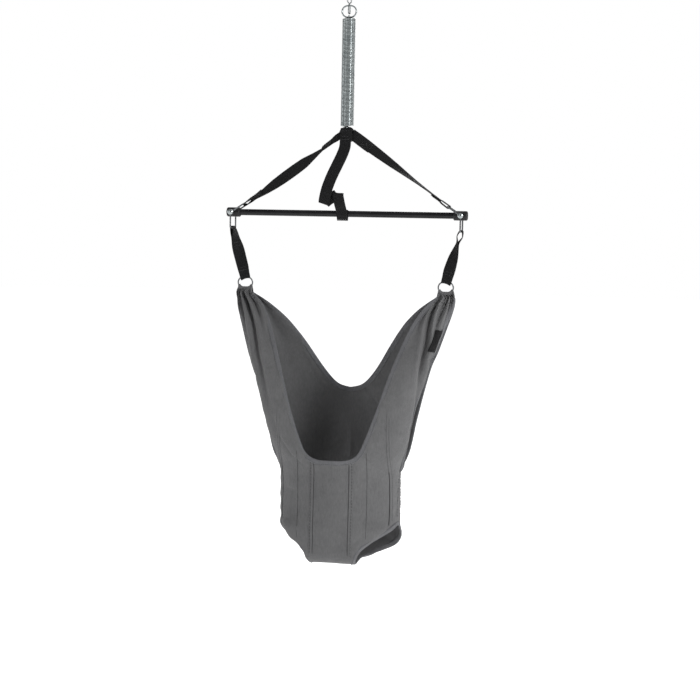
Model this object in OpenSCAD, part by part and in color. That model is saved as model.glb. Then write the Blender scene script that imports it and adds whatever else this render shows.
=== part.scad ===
// Hanging activity jumper: hook, spring, spreader bar, webbing and a sewn fabric seat.
// Millimetres, +Z up, front towards -Y. The origin is where the ceiling hook carries the load.

/* [Hanging hook and link] */
// Wire of the ceiling hook
hook_wire = 2.8; // [2.6:0.1:3.0]
// Radius of the hook's upper bend, at the wire's centre
hook_top_r = 6.5; // [6:0.5:9]
// Radius of the hook's lower bend, at the wire's centre
hook_low_r = 5.2; // [5:0.1:6]
// Distance between the centres of the two bends
hook_reach = 20; // [18:1:24]
// Wire of the figure-eight link
link_wire = 1.9; // [1.6:0.1:2]
// Width of the link's long loop, between wire centres
link_w = 6.4; // [6.2:0.1:7]
// Turn of the link's plane from the ring's plane
link_turn = 60; // [55:5:75]

/* [Rings] */
// Wire of the top ring and the hub ring
ring_wire = 2.4; // [2:0.1:2.6]
// Outside width of the top ring and the hub ring
ring_w = 25; // [24:1:28]
// Outside height of the top ring and the hub ring
ring_h = 20; // [19:1:22]
// Wire of the oval seat rings
seat_ring_wire = 2.2; // [2.2:0.1:2.8]
// Outside width of the seat rings
seat_ring_w = 26; // [25:1:30]
// Outside height of the seat rings
seat_ring_h = 20; // [18:1:20]

/* [Spring] */
// Outside diameter of the coils
spring_d = 21; // [20:1:24]
// Spring wire
spring_wire = 2.0; // [1.6:0.1:2.2]
// Length of the closed coils, with both end coils
spring_len = 168.4; // [140:0.2:180]

/* [Webbing] */
// Width of the webbing
web_w = 20; // [18:1:22]
// Thickness of one layer of webbing
web_t = 1.6; // [1.2:0.1:2]

/* [Spreader bar] */
// Distance between the two through bolts
bolt_span = 370; // [340:5:400]
// Tube diameter
bar_d = 10; // [9:0.5:11]
// Tube wall
bar_wall = 1.2; // [1:0.1:2]
// Outside diameter of the end caps
cap_d = 15; // [14:0.5:16]
// Length of the end caps
cap_len = 22; // [20:1:26]
// Bolt shank diameter
bolt_d = 4; // [3.5:0.5:4.5]
// Domed head diameter
bolt_head_d = 8.6; // [8:0.2:10]
// Drop from the hub ring's bottom wire to the bar
hub_drop = 118; // [100:1:130]
// Stirrup wire
stirrup_wire = 2.4; // [2:0.1:2.6]
// Stirrup length, bolt centre to cross-bar centre
stirrup_len = 25; // [24:0.5:30]

/* [Seat] */
// Drop from the bar to the centre of the seat rings
seat_drop = 113; // [105:1:120]
// Distance between the seat rings
ring_span = 326; // [310:2:340]
// Half width of the body of the seat
body_a = 97; // [90:1:105]
// Half depth of the body of the seat
body_b = 78; // [70:1:80]
// Fabric thickness with its padding
cloth_t = 3; // [2:0.5:4]
// Diameter of the edge bindings
bind_d = 3.4; // [3:0.2:4]

/* [Hidden] */

// Clearance between bodies that move against each other
gap = 0.3;
// Radial clearance of a running fit
run = 0.05;
$fn = 48;

steel = "silver";
black = [0.08, 0.08, 0.09];
charcoal = [0.36, 0.36, 0.38];
dark = [0.24, 0.24, 0.26];

// Heights down the load line, each from the one above
hook_top_z = hook_wire/2 - hook_top_r;
hook_low_z = hook_top_z - hook_reach;
link_top_z = hook_low_z - hook_low_r + (hook_wire + link_wire)/2 + gap;
link_long = 28.3;
link_short = 10.1;
link_short_w = 3.8;
link_cross_z = link_top_z - link_long;
ring_top_z = link_cross_z + (ring_wire + link_wire)/2 + gap;
ring_z = ring_top_z - (ring_h - ring_wire)/2;
ring_low_z = ring_z - (ring_h - ring_wire)/2;
coil_r = (spring_d - spring_wire)/2;
end_coil_top_z = ring_low_z - ring_wire/2 - gap - spring_wire/2;
end_coil_low_z = end_coil_top_z - spring_len + spring_wire;
coils_top_z = end_coil_top_z - spring_wire/2 - gap;
coils_low_z = end_coil_low_z + spring_wire/2 + gap;
hub_top_z = end_coil_low_z - spring_wire/2 - gap - ring_wire/2;
hub_z = hub_top_z - (ring_h - ring_wire)/2;
hub_low_z = hub_z - (ring_h - ring_wire)/2;
bar_z = hub_low_z - hub_drop;
seat_z = bar_z - seat_drop;
seat_top_z = seat_z + (seat_ring_h - seat_ring_wire)/2;
seat_low_z = seat_z - (seat_ring_h - seat_ring_wire)/2;

// Stations along each through bolt, from the bar's axis outwards
spacer_in = cap_d/2 + gap;
upper_eye = web_w/2 + gap + stirrup_wire;
lower_eye = upper_eye + stirrup_wire + gap;
bolt_half = lower_eye + stirrup_wire/2 + gap;
eye_d = 8.4;
bolt_x = bolt_span/2;
strap_angle = atan2(hub_low_z - bar_z, bolt_x);

// ---------- shared shapes ----------

// Wire bent to an arc in the XY plane
module wire_arc(r, wire, from, to) {
    rotate([0, 0, from]) rotate_extrude(angle = to - from) translate([r, 0]) circle(d = wire, $fn = 24);
}

// Straight wire between two points
module wire_bar(a, b, wire) {
    d = b - a;
    turn = atan2(d[1], d[0]);
    tilt = acos(d[2]/norm(d));
    translate(a) rotate([0, tilt, turn]) cylinder(d = wire, h = norm(d), $fn = 24);
}

// Closed oval of wire in the XZ plane, centred; w and h are outside sizes
module oval_ring(w, h, wire) {
    end_r = min(w, h)/2 - wire/2;
    dx = max(w - h, 0)/2;
    dz = max(h - w, 0)/2;
    rotate([90, 0, 0]) {
        translate([dx, dz]) wire_arc(end_r, wire, 0, 90);
        translate([-dx, dz]) wire_arc(end_r, wire, 90, 180);
        translate([-dx, -dz]) wire_arc(end_r, wire, 180, 270);
        translate([dx, -dz]) wire_arc(end_r, wire, 270, 360);
    }
    for (s = [-1, 1]) {
        if (dx > 0) wire_bar([-dx, 0, s*end_r], [dx, 0, s*end_r], wire);
        if (dz > 0) wire_bar([s*end_r, 0, -dz], [s*end_r, 0, dz], wire);
    }
}

// Smooth curve through a list of points, s from 0 to 1
function knot(p, i) = p[max(0, min(len(p) - 1, i))];
function spline(p, s) =
    let (x = max(0, min(0.99999, s))*(len(p) - 1), i = floor(x), t = x - i,
         a = knot(p, i - 1), b = knot(p, i), c = knot(p, i + 1), d = knot(p, i + 2))
    0.5*(2*b + (c - a)*t + (2*a - 5*b + 4*c - d)*t*t + (3*b - a - 3*c + d)*t*t*t);
function unit(v) = v/max(norm(v), 0.000001);
function mix(a, b, t) = a + (b - a)*t;

// Closed body between an outer and an inner grid of points, rows by columns
module shell(outer, inner) {
    rows = len(outer);
    cols = len(outer[0]);
    n = rows*cols;
    points = concat([for (r = outer) for (p = r) p], [for (r = inner) for (p = r) p]);
    function id(k, i, j) = k*n + i*cols + j;
    faces = concat(
        [for (i = [0:rows - 2]) for (j = [0:cols - 2])
            [id(0, i, j), id(0, i, j + 1), id(0, i + 1, j + 1)]],
        [for (i = [0:rows - 2]) for (j = [0:cols - 2])
            [id(0, i, j), id(0, i + 1, j + 1), id(0, i + 1, j)]],
        [for (i = [0:rows - 2]) for (j = [0:cols - 2])
            [id(1, i, j), id(1, i + 1, j + 1), id(1, i, j + 1)]],
        [for (i = [0:rows - 2]) for (j = [0:cols - 2])
            [id(1, i, j), id(1, i + 1, j), id(1, i + 1, j + 1)]],
        [for (j = [0:cols - 2]) [id(0, 0, j), id(1, 0, j), id(1, 0, j + 1)]],
        [for (j = [0:cols - 2]) [id(0, 0, j), id(1, 0, j + 1), id(0, 0, j + 1)]],
        [for (j = [0:cols - 2]) [id(0, rows - 1, j), id(1, rows - 1, j + 1), id(1, rows - 1, j)]],
        [for (j = [0:cols - 2]) [id(0, rows - 1, j), id(0, rows - 1, j + 1), id(1, rows - 1, j + 1)]],
        [for (i = [0:rows - 2]) [id(0, i, 0), id(1, i + 1, 0), id(1, i, 0)]],
        [for (i = [0:rows - 2]) [id(0, i, 0), id(0, i + 1, 0), id(1, i + 1, 0)]],
        [for (i = [0:rows - 2]) [id(0, i, cols - 1), id(1, i, cols - 1), id(1, i + 1, cols - 1)]],
        [for (i = [0:rows - 2]) [id(0, i, cols - 1), id(1, i + 1, cols - 1), id(0, i + 1, cols - 1)]]);
    polyhedron(points, faces);
}

// Sweep of a ring of points per station, closed at both ends
module sweep(rings) {
    n = len(rings[0]);
    last = len(rings) - 1;
    faces = concat(
        [[for (k = [0:n - 1]) k]],
        [[for (k = [n - 1:-1:0]) last*n + k]],
        [for (i = [0:last - 1]) for (k = [0:n - 1])
            [i*n + k, (i + 1)*n + k, (i + 1)*n + (k + 1)%n]],
        [for (i = [0:last - 1]) for (k = [0:n - 1])
            [i*n + k, (i + 1)*n + (k + 1)%n, i*n + (k + 1)%n]]);
    polyhedron([for (r = rings) for (p = r) p], faces);
}

// Round cord through points
module cord(path, d, sides = 6) {
    last = len(path) - 1;
    function along(i) = unit(knot(path, i + 1) - knot(path, i - 1));
    sweep([for (i = [0:last])
        let (t = along(i), side = unit(cross(t, abs(t[1]) > 0.9 ? [1, 0, 0] : [0, 1, 0])),
             up = cross(side, t))
        [for (k = [0:sides - 1])
            path[i] + d/2*(cos(360*k/sides)*side - sin(360*k/sides)*up)]]);
}

// Flat strap through points; each station has its own width direction, width and thickness
module strap(path, across, widths, thick) {
    last = len(path) - 1;
    sweep([for (i = [0:last])
        let (t = unit(knot(path, i + 1) - knot(path, i - 1)),
             w = unit(across[i] - (across[i]*t)*t), n = cross(w, t),
             a = w*widths[i]/2, b = n*thick[i]/2)
        [path[i] - a - b, path[i] - a + b, path[i] + a + b, path[i] + a - b]]);
}

// ---------- hanging gear ----------

// S-hook: two bends joined by the straight wire that touches both
module ceiling_hook() {
    lean = asin((hook_top_r + hook_low_r)/hook_reach);
    tip = 205;
    eye_end = 405;
    step = 15;
    function on(r, z, a) = [r*cos(a), 0, z + r*sin(a)];
    path = concat([for (a = [tip:-step:-lean]) on(hook_top_r, hook_top_z, a)],
        [on(hook_top_r, hook_top_z, -lean)],
        [for (a = [180 - lean:step:eye_end]) on(hook_low_r, hook_low_z, a)]);
    color(steel) rotate([0, 0, link_turn + 90]) cord(path, hook_wire, 10);
}

module chain_link() color(steel) rotate([0, 0, link_turn]) {
    translate([0, 0, link_cross_z + link_long/2])
        oval_ring(link_w + link_wire, link_long + link_wire, link_wire);
    translate([0, 0, link_cross_z - link_short/2])
        oval_ring(link_short_w + link_wire, link_short + link_wire, link_wire);
}

module top_ring() color(steel) translate([0, 0, ring_z]) oval_ring(ring_w, ring_h, ring_wire);

// One end of the spring, pointing up: last coil, inward leg and open loop round a ring's wire
module spring_end(coil_z, wire_z) {
    loop_r = (ring_wire + spring_wire)/2 + 2*gap;
    loop_z = wire_z + (ring_wire + spring_wire)/2 + gap - loop_r;
    translate([0, 0, coil_z]) wire_arc(coil_r, spring_wire, 0, 360);
    wire_bar([0, loop_r, coil_z], [0, coil_r, coil_z], spring_wire);
    wire_bar([0, loop_r, coil_z], [0, loop_r, loop_z], spring_wire);
    translate([0, loop_r, coil_z]) sphere(d = spring_wire, $fn = 24);
    translate([0, 0, loop_z]) rotate([90, 0, 90]) wire_arc(loop_r, spring_wire, 0, 180);
}

module spring_top_hook() color(steel) spring_end(end_coil_top_z, ring_low_z);

module spring_lower_hook() color(steel)
    translate([0, 0, end_coil_low_z]) mirror([0, 0, 1]) spring_end(0, end_coil_low_z - hub_top_z);

// Closed coils, as a tube whose outside is ridged turn by turn
module spring() color(steel) {
    length = coils_top_z - coils_low_z;
    turns = floor(length/spring_wire);
    pitch = length/turns;
    groove = 0.45;
    translate([0, 0, coils_low_z]) rotate_extrude() polygon(concat(
        [[coil_r - spring_wire/2 + groove, length], [coil_r - spring_wire/2 + groove, 0]],
        [for (i = [0:turns - 1]) for (k = [0, 1])
            [spring_d/2 - (k == 0 ? groove : 0), pitch*(i + k/2)]],
        [[spring_d/2 - groove, length]]));
}

module hub_ring() color(steel) translate([0, 0, hub_z]) oval_ring(ring_w, ring_h, ring_wire);

// ---------- webbing above the bar ----------

wrap_w = ring_w;
wrap_t = 9;
flap_w = web_w - 1;
wrap_top_z = hub_top_z - 4.5;
wrap_low_z = hub_low_z - ring_wire/2 - web_t;
flap_top_z = hub_top_z - 2;

// Webbing folded over the ring's lower wire, with a flap that hides the ring in front
module hub_wrap() color(black) {
    difference() {
        translate([-wrap_w/2, -wrap_t/2, wrap_low_z]) cube([wrap_w, wrap_t, wrap_top_z - wrap_low_z]);
        translate([0, 0, hub_z]) oval_ring(ring_w, ring_h, ring_wire + 2*gap);
    }
    translate([-flap_w/2, -wrap_t/2 - web_t, wrap_low_z])
        cube([flap_w, web_t + 0.01, flap_top_z - wrap_low_z]);
}

// Strap from the hub to a bar end, drawn for the right; twist gives the turn of its face at each part
module upper_strap(twist) {
    start = [wrap_w/2 + 4.5, 0, hub_low_z + 4];
    finish = [bolt_x - stirrup_len*cos(strap_angle), 0, bar_z + stirrup_len*sin(strap_angle)];
    back = unit(start - finish);
    loop_r = stirrup_wire/2 + gap;
    stop = finish + back*(loop_r + web_t - 0.4);
    steps = 18;
    stitched = 0.12;
    path = [for (i = [0:steps]) let (s = i/steps) mix(start, stop, s)];
    up = cross([0, 1, 0], back);
    across = [for (i = [0:steps]) let (a = spline(twist, i/steps)) cos(a)*[0, 1, 0] + sin(a)*up];
    thick = [for (i = [0:steps]) i/steps > 1 - stitched ? 2.6*web_t : 1.2*web_t];
    strap(path, across, [for (i = [0:steps]) min(web_w, 12 + 50*i/steps)], thick);
    difference() {
        translate(finish) rotate([90, 0, 0]) cylinder(r = loop_r + web_t, h = web_w, center = true);
        translate(finish) rotate([90, 0, 0]) cylinder(r = loop_r, h = web_w + 2, center = true);
    }
}

// Faces turn from edge-on through flat and back on the left, from flat to edge-on on the right
left_twist = [0, 35, 68, 50, 12, 0];
right_twist = [80, 78, 70, 45, 12, 0];
module left_upper_strap() color(black) mirror([1, 0, 0]) upper_strap(left_twist);
module right_upper_strap() color(black) upper_strap(right_twist);

// Slack strap: down in front of the hub, folded up behind itself, folded again and down to the bar.
// Its points are x, y and the height below the hub ring.
safety_route = [[0, -8.5, -2], [-2, -10, -14], [-9, -14, -38], [-20, -18, -68], [-26, -19.5, -92],
    [-26.5, -18.5, -100], [-25.5, -15.5, -103.5], [-23, -13, -101], [-16, -12.4, -93], [-9, -12, -86],
    [-6.5, -10.2, -84], [-5, -8.2, -87], [-3, -8, -97], [0, -8.4, -111]];
safety_across = [[1, 0, 0], [1, 0, -0.1], [1, 0, -0.3], [1, 0, -0.3], [1, 0, -0.1],
    [1, 0, -0.2], [1, 0, -0.25], [1, 0, -0.4], [0.75, 0, -0.66], [0.75, 0, -0.66],
    [0.85, 0, -0.4], [1, 0, 0], [1, 0, 0.1], [1, 0, 0]];
module safety_strap() {
    steps = 52;
    path = [for (i = [0:steps]) spline(safety_route, i/steps) + [0, 0, hub_low_z]];
    across = [for (i = [0:steps]) spline(safety_across, i/steps)];
    widths = [for (i = [0:steps]) mix(web_w, web_w - 3, i/steps)];
    color(black) strap(path, across, widths, [for (i = [0:steps]) web_t]);
}

sleeve_w = 17;
module bar_sleeve() color(black) translate([0, 0, bar_z]) rotate([0, 90, 0]) difference() {
    cylinder(d = bar_d + 2*web_t + 0.1, h = sleeve_w, center = true);
    cylinder(d = bar_d + 0.1, h = sleeve_w + 2, center = true);
}

// ---------- spreader bar ----------

cap_out = 9.6;
cap_end = bolt_x + cap_out;
tube_end = cap_end - 2;

module spreader_bar() color(black) translate([0, 0, bar_z]) difference() {
    rotate([0, 90, 0]) cylinder(d = bar_d, h = 2*tube_end, center = true);
    rotate([0, 90, 0]) cylinder(d = bar_d - 2*bar_wall, h = 2*tube_end + 2, center = true);
    for (s = [-1, 1]) translate([s*bolt_x, 0, 0]) rotate([90, 0, 0])
        cylinder(d = bolt_d + 2*run, h = bar_d + 2, center = true);
}

module end_cap() color([0.14, 0.14, 0.15]) translate([0, 0, bar_z]) difference() {
    translate([cap_end, 0, 0]) rotate([0, -90, 0]) rotate_extrude() polygon([[0, 0], [cap_d/2 - 2, 0],
        [cap_d/2 - 0.6, 0.6], [cap_d/2, 2], [cap_d/2, cap_len - 1], [cap_d/2 - 1, cap_len],
        [bar_d/2 + run, cap_len], [bar_d/2 + run, 1.7], [0, 1.7]]);
    translate([bolt_x, 0, 0]) rotate([90, 0, 0]) cylinder(d = bolt_d + 2*run, h = cap_d + 2, center = true);
}
module right_end_cap() end_cap();
module left_end_cap() mirror([1, 0, 0]) end_cap();

// Repeats its children at both bolts
module at_bolts() for (s = [-1, 1]) translate([s*bolt_x, 0, bar_z]) children();

module through_bolts() color(steel) at_bolts() rotate([90, 0, 0]) {
    translate([0, 0, -bolt_half - 4]) cylinder(d = bolt_d, h = 2*bolt_half + 4.1);
    translate([0, 0, bolt_half]) rotate_extrude() intersection() {
        translate([0, -3.4]) circle(r = 6.2, $fn = 64);
        square([bolt_head_d/2, 3]);
    }
}

module dome_nuts() color(steel) at_bolts() rotate([-90, 0, 0]) translate([0, 0, bolt_half]) difference() {
    union() {
        cylinder(d = 8.2, h = 3, $fn = 6);
        translate([0, 0, 3]) intersection() {
            translate([0, 0, -0.6]) sphere(d = 7);
            cylinder(d = 7, h = 3);
        }
    }
    translate([0, 0, -1]) cylinder(d = bolt_d + 2*run, h = 5.1);
}

module bolt_spacers() color([0.2, 0.2, 0.2]) at_bolts() for (s = [0, 180]) rotate([90, 0, s])
    translate([0, 0, spacer_in]) difference() {
        cylinder(d = 8, h = upper_eye - stirrup_wire/2 - gap - spacer_in);
        translate([0, 0, -1]) cylinder(d = bolt_d + 2*run, h = 10);
    }

// U of wire with an eye at the end of each leg; hangs down from the origin
module stirrup(eye_y) {
    bend = stirrup_wire;
    for (s = [-1, 1]) {
        difference() {
            union() {
                translate([0, s*eye_y, 0]) rotate([90, 0, 0])
                    cylinder(d = eye_d, h = stirrup_wire, center = true);
                wire_bar([0, s*eye_y, -bolt_d/2 - 1], [0, s*eye_y, bend - stirrup_len], stirrup_wire);
            }
            translate([0, s*eye_y, 0]) rotate([90, 0, 0])
                cylinder(d = bolt_d + 2*run, h = 2*stirrup_wire, center = true);
        }
        translate([0, s*(eye_y - bend), bend - stirrup_len]) rotate([90, 0, 90])
            rotate([0, 0, s > 0 ? 270 : 180]) wire_arc(bend, stirrup_wire, 0, 90);
    }
    wire_bar([0, bend - eye_y, -stirrup_len], [0, eye_y - bend, -stirrup_len], stirrup_wire);
}

// An upper stirrup points along its strap, a lower one hangs straight down
module upper_stirrup(s) color(steel) translate([s*bolt_x, 0, bar_z])
    rotate([0, s*(90 + strap_angle), 0]) stirrup(upper_eye);
module lower_stirrup(s) color(steel) translate([s*bolt_x, 0, bar_z]) stirrup(lower_eye);
module right_upper_stirrup() upper_stirrup(1);
module left_upper_stirrup() upper_stirrup(-1);
module right_lower_stirrup() lower_stirrup(1);
module left_lower_stirrup() lower_stirrup(-1);

// ---------- webbing below the bar ----------

low_loop_w = 14;
low_loop_r = seat_ring_wire/2 + 1.1;

// Strap from the stirrup's cross-bar to the seat ring, with a quarter twist, drawn for the right
module lower_strap() {
    top = [bolt_x, 0, bar_z - stirrup_len];
    low = [ring_span/2, 0, seat_top_z];
    axis = unit(low - top);
    loop_r = stirrup_wire/2 + gap;
    start = top + axis*(loop_r + web_t - 0.4);
    stop = low - axis*(low_loop_r + web_t - 0.4);
    steps = 16;
    path = [for (i = [0:steps]) mix(start, stop, i/steps)];
    across = [for (i = [0:steps]) let (a = spline([0, 8, 50, 82, 90], i/steps)) [sin(a), -cos(a), 0]];
    widths = [for (i = [0:steps]) spline([web_w, web_w, web_w, web_w - 2, low_loop_w], i/steps)];
    strap(path, across, widths, [for (i = [0:steps]) 2*web_t]);
    difference() {
        translate(top) rotate([90, 0, 0]) cylinder(r = loop_r + web_t, h = web_w, center = true);
        translate(top) rotate([90, 0, 0]) cylinder(r = loop_r, h = web_w + 2, center = true);
    }
    difference() {
        translate(low) rotate([0, 90, 0]) cylinder(r = low_loop_r + web_t, h = low_loop_w, center = true);
        translate(low) rotate([0, 90, 0]) cylinder(r = low_loop_r, h = low_loop_w + 2, center = true);
    }
}
module right_lower_strap() color(black) lower_strap();
module left_lower_strap() color(black) mirror([1, 0, 0]) lower_strap();

// ---------- seat ----------

module seat_ring(s) color(steel) translate([s*ring_span/2, 0, seat_z])
    oval_ring(seat_ring_w, seat_ring_h, seat_ring_wire);
module right_seat_ring() seat_ring(1);
module left_seat_ring() seat_ring(-1);

hem_w = 22;
hem_t = 7;
hem_top_z = seat_low_z + 3;
hem_low_z = seat_low_z - 5;

// Gathered fabric folded over the ring's lower wire
module hem(s) color(charcoal) translate([s*ring_span/2, 0, 0]) difference() {
    translate([-hem_w/2, -hem_t/2, hem_low_z]) cube([hem_w, hem_t, hem_top_z - hem_low_z]);
    translate([0, 0, seat_z]) oval_ring(seat_ring_w, seat_ring_h, seat_ring_wire + 2*gap);
}
module right_hem() hem(1);
module left_hem() hem(-1);

// Edge curves of the right half, as x, depth from the side seam, height from the seat ring's centre.
// Front points have y < 0, back points y > 0.
side_top = [body_a, 0, -292];
side_low = [body_a, 0, -380];
crotch_edge = [36, 0, -440];
front_neck = [[0, -body_b, -272], [22, -body_b, -271], [40, 1 - body_b, -262], [51, 1 - body_b, -241],
    [69, -72, -191], [89, -58, -127], [112, -30, -66], [131, -12, -34], [150, -4, -16]];
front_arm = [side_top + [0, 0, 3], [107, -20, -270], [118, -28, -215], [128, -30, -173], [140, -26, -129],
    [151, -20, -103], [165, -11, -63], [173, -6, -36], [176, -4, -16]];
back_neck = [[0, 70, -172], [22, 69, -165], [44, 63, -140], [70, 46, -98], [86, 34, -74],
    [100, 24, -56], [118, 13, -38], [134, 7, -26], [150, 4, -16]];
back_arm = [side_top + [0, 0, 3], [107, 20, -270], [118, 28, -215], [128, 30, -173], [140, 26, -129],
    [151, 20, -103], [165, 11, -63], [173, 6, -36], [176, 4, -16]];
front_line = [[0, -body_b, -272], [0, -78, -312], [0, -78, -352], [0, -78, -397], [0, -70, -433],
    [0, 0, -443]];
back_line = [[0, 70, -172], [0, 75, -270], [0, 76, -345], [0, 70, -398], [0, 42, -434], [0, 0, -442]];
front_leg = [side_low, [90, -32, -386], [66, -58, -399], [47, -68, -414], [37, -66, -432],
    [35, -34, -441], crotch_edge];
back_leg = [side_low, [98, 24, -404], [86, 46, -424], [64, 50, -436], [46, 28, -441], crotch_edge];
// Share of a lower panel's height that is side seam, before the leg opening starts
seam_share = 0.4;

function lower_edge(leg, v) = v < seam_share
    ? mix(side_top, side_low, v/seam_share)
    : spline(leg, (v - seam_share)/(1 - seam_share));

// Row between the middle line c and the edge e, bulging like a quarter ellipse
function bulge(c, e, u) = [mix(c[0], e[0], sin(90*u)), e[1] + (c[1] - e[1])*cos(90*u), mix(c[2], e[2], u)];
function lower_point(line, leg, u, v) =
    let (p = bulge(spline(line, v), lower_edge(leg, v), abs(u))) [sign(u)*p[0], p[1], p[2]];
function upper_point(neck, arm, u, v) = bulge(spline(neck, v), spline(arm, v), u);

// First u from an edge, in steps, that lies a distance d inside it
function inset(c, e, d, edge, u, step) =
    norm(bulge(c, e, u) - bulge(c, e, edge)) >= d ? u : inset(c, e, d, edge, u + step, step);

// The same for a leg opening, measured to every point of its edge
function leg_inset(c, e, d, leg, u) =
    min([for (q = leg) norm(bulge(c, e, u) - q)]) >= d ? u : leg_inset(c, e, d, leg, u - 0.005);

// Panels, each a grid of outer points and the same grid moved inwards by the cloth's thickness
module skin(grid, out) {
    rows = len(grid);
    cols = len(grid[0]);
    function at(i, j) = grid[max(0, min(rows - 1, i))][max(0, min(cols - 1, j))];
    inner = [for (i = [0:rows - 1]) [for (j = [0:cols - 1])
        at(i, j) - out*cloth_t*unit(cross(at(i, j + 1) - at(i, j - 1), at(i + 1, j) - at(i - 1, j)))]];
    if (out > 0) shell(inner, grid);
    else shell(grid, inner);
}

trim = bind_d/2 + 0.8;
panel_u = 0.37;
panel_v = 0.985;

module center_panel(line, leg, out) translate([0, 0, seat_z]) {
    cols = 8;
    rows = 14;
    skin([for (i = [0:rows]) [for (j = [0:cols])
        lower_point(line, leg, (2*j/cols - 1)*(panel_u - 0.004), mix(0.012, panel_v, i/rows))]], out);
}

module side_panel(line, leg, out) translate([0, 0, seat_z]) {
    cols = 6;
    rows = 14;
    edge = curve(leg, 48);
    skin([for (i = [0:rows])
        let (v = mix(0.012, panel_v, i/rows), c = spline(line, v), e = lower_edge(leg, v),
             stop = v < seam_share - 0.04
                 ? inset(c, e, 2*gap, 1, 1, -0.005)
                 : leg_inset(c, e, trim + 0.6, edge, 1))
        [for (j = [0:cols]) lower_point(line, leg, mix(panel_u + 0.004, stop, j/cols), v)]], out);
}

module shoulder(neck, arm, out) translate([0, 0, seat_z]) {
    cols = 6;
    rows = 18;
    skin([for (i = [rows:-1:0])
        let (v = mix(0.006, 1, i/rows), c = spline(neck, v), e = spline(arm, v),
             from = inset(c, e, trim, 0, 0, 0.005), stop = inset(c, e, trim, 1, 1, -0.005))
        [for (j = [0:cols]) upper_point(neck, arm, mix(from, stop, j/cols), v)]], out);
}

module front_center_panel() color(charcoal) center_panel(front_line, front_leg, -1);
module back_center_panel() color(dark) center_panel(back_line, back_leg, 1);
module front_right_panel() color(charcoal) side_panel(front_line, front_leg, -1);
module front_left_panel() mirror([1, 0, 0]) front_right_panel();
module back_right_panel() color(dark) side_panel(back_line, back_leg, 1);
module back_left_panel() mirror([1, 0, 0]) back_right_panel();
module front_right_shoulder() color(charcoal) shoulder(front_neck, front_arm, -1);
module front_left_shoulder() mirror([1, 0, 0]) front_right_shoulder();
module back_right_shoulder() color(dark) shoulder(back_neck, back_arm, 1);
module back_left_shoulder() mirror([1, 0, 0]) back_right_shoulder();

// Folded edge tape, as a cord along the edge curves
module edge_tape(path) color([0.3, 0.3, 0.33]) translate([0, 0, seat_z]) cord(path, bind_d);
function mirrored(p) = [-p[0], p[1], p[2]];
function curve(list, steps) = [for (i = [0:steps]) spline(list, i/steps)];
function reversed(list) = [for (i = [len(list) - 1:-1:0]) list[i]];

// A neckline runs from one ring down, across the middle and up to the other ring
module neck_tape(list) {
    half = curve(list, 16);
    edge_tape(concat([for (i = [16:-1:1]) mirrored(half[i])], half));
}
module front_neck_binding() neck_tape(front_neck);
module back_neck_binding() neck_tape(back_neck);

// An armhole runs from the ring down the front, round the side seam's top and up the back
module right_arm_binding() {
    front = curve(front_arm, 14);
    edge_tape(concat(reversed(front), [for (p = curve(back_arm, 14)) if (p[1] > 2) p]));
}
module left_arm_binding() mirror([1, 0, 0]) right_arm_binding();

// A leg opening runs from the side seam along the front to the crotch and back along the rear
module right_leg_binding() {
    front = curve(front_leg, 12);
    rear = curve(back_leg, 12);
    edge_tape(concat(front, [for (i = [11:-1:1]) rear[i]]));
}
module left_leg_binding() mirror([1, 0, 0]) right_leg_binding();

// Blank woven label on the front of the right shoulder
module label() {
    function raised(u, v, h) = upper_point(front_neck, front_arm, u, v) + [0, -h, 0];
    function grid(h) = [for (v = [0.72, 0.67, 0.62]) [for (u = [0.62, 0.76, 0.9]) raised(u, v, h)]];
    color(black) translate([0, 0, seat_z]) shell(grid(1.2), grid(2.2));
}

ceiling_hook();
chain_link();
top_ring();
spring_top_hook();
spring();
spring_lower_hook();
hub_ring();
hub_wrap();
left_upper_strap();
right_upper_strap();
safety_strap();
bar_sleeve();
spreader_bar();
left_end_cap();
right_end_cap();
through_bolts();
dome_nuts();
bolt_spacers();
left_upper_stirrup();
right_upper_stirrup();
left_lower_stirrup();
right_lower_stirrup();
left_lower_strap();
right_lower_strap();
left_seat_ring();
right_seat_ring();
left_hem();
right_hem();
front_center_panel();
front_left_panel();
front_right_panel();
back_center_panel();
back_left_panel();
back_right_panel();
front_left_shoulder();
front_right_shoulder();
back_left_shoulder();
back_right_shoulder();
front_neck_binding();
back_neck_binding();
left_arm_binding();
right_arm_binding();
left_leg_binding();
right_leg_binding();
label();
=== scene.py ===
import math
import bpy
import numpy as np
from mathutils import Matrix, Vector


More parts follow.
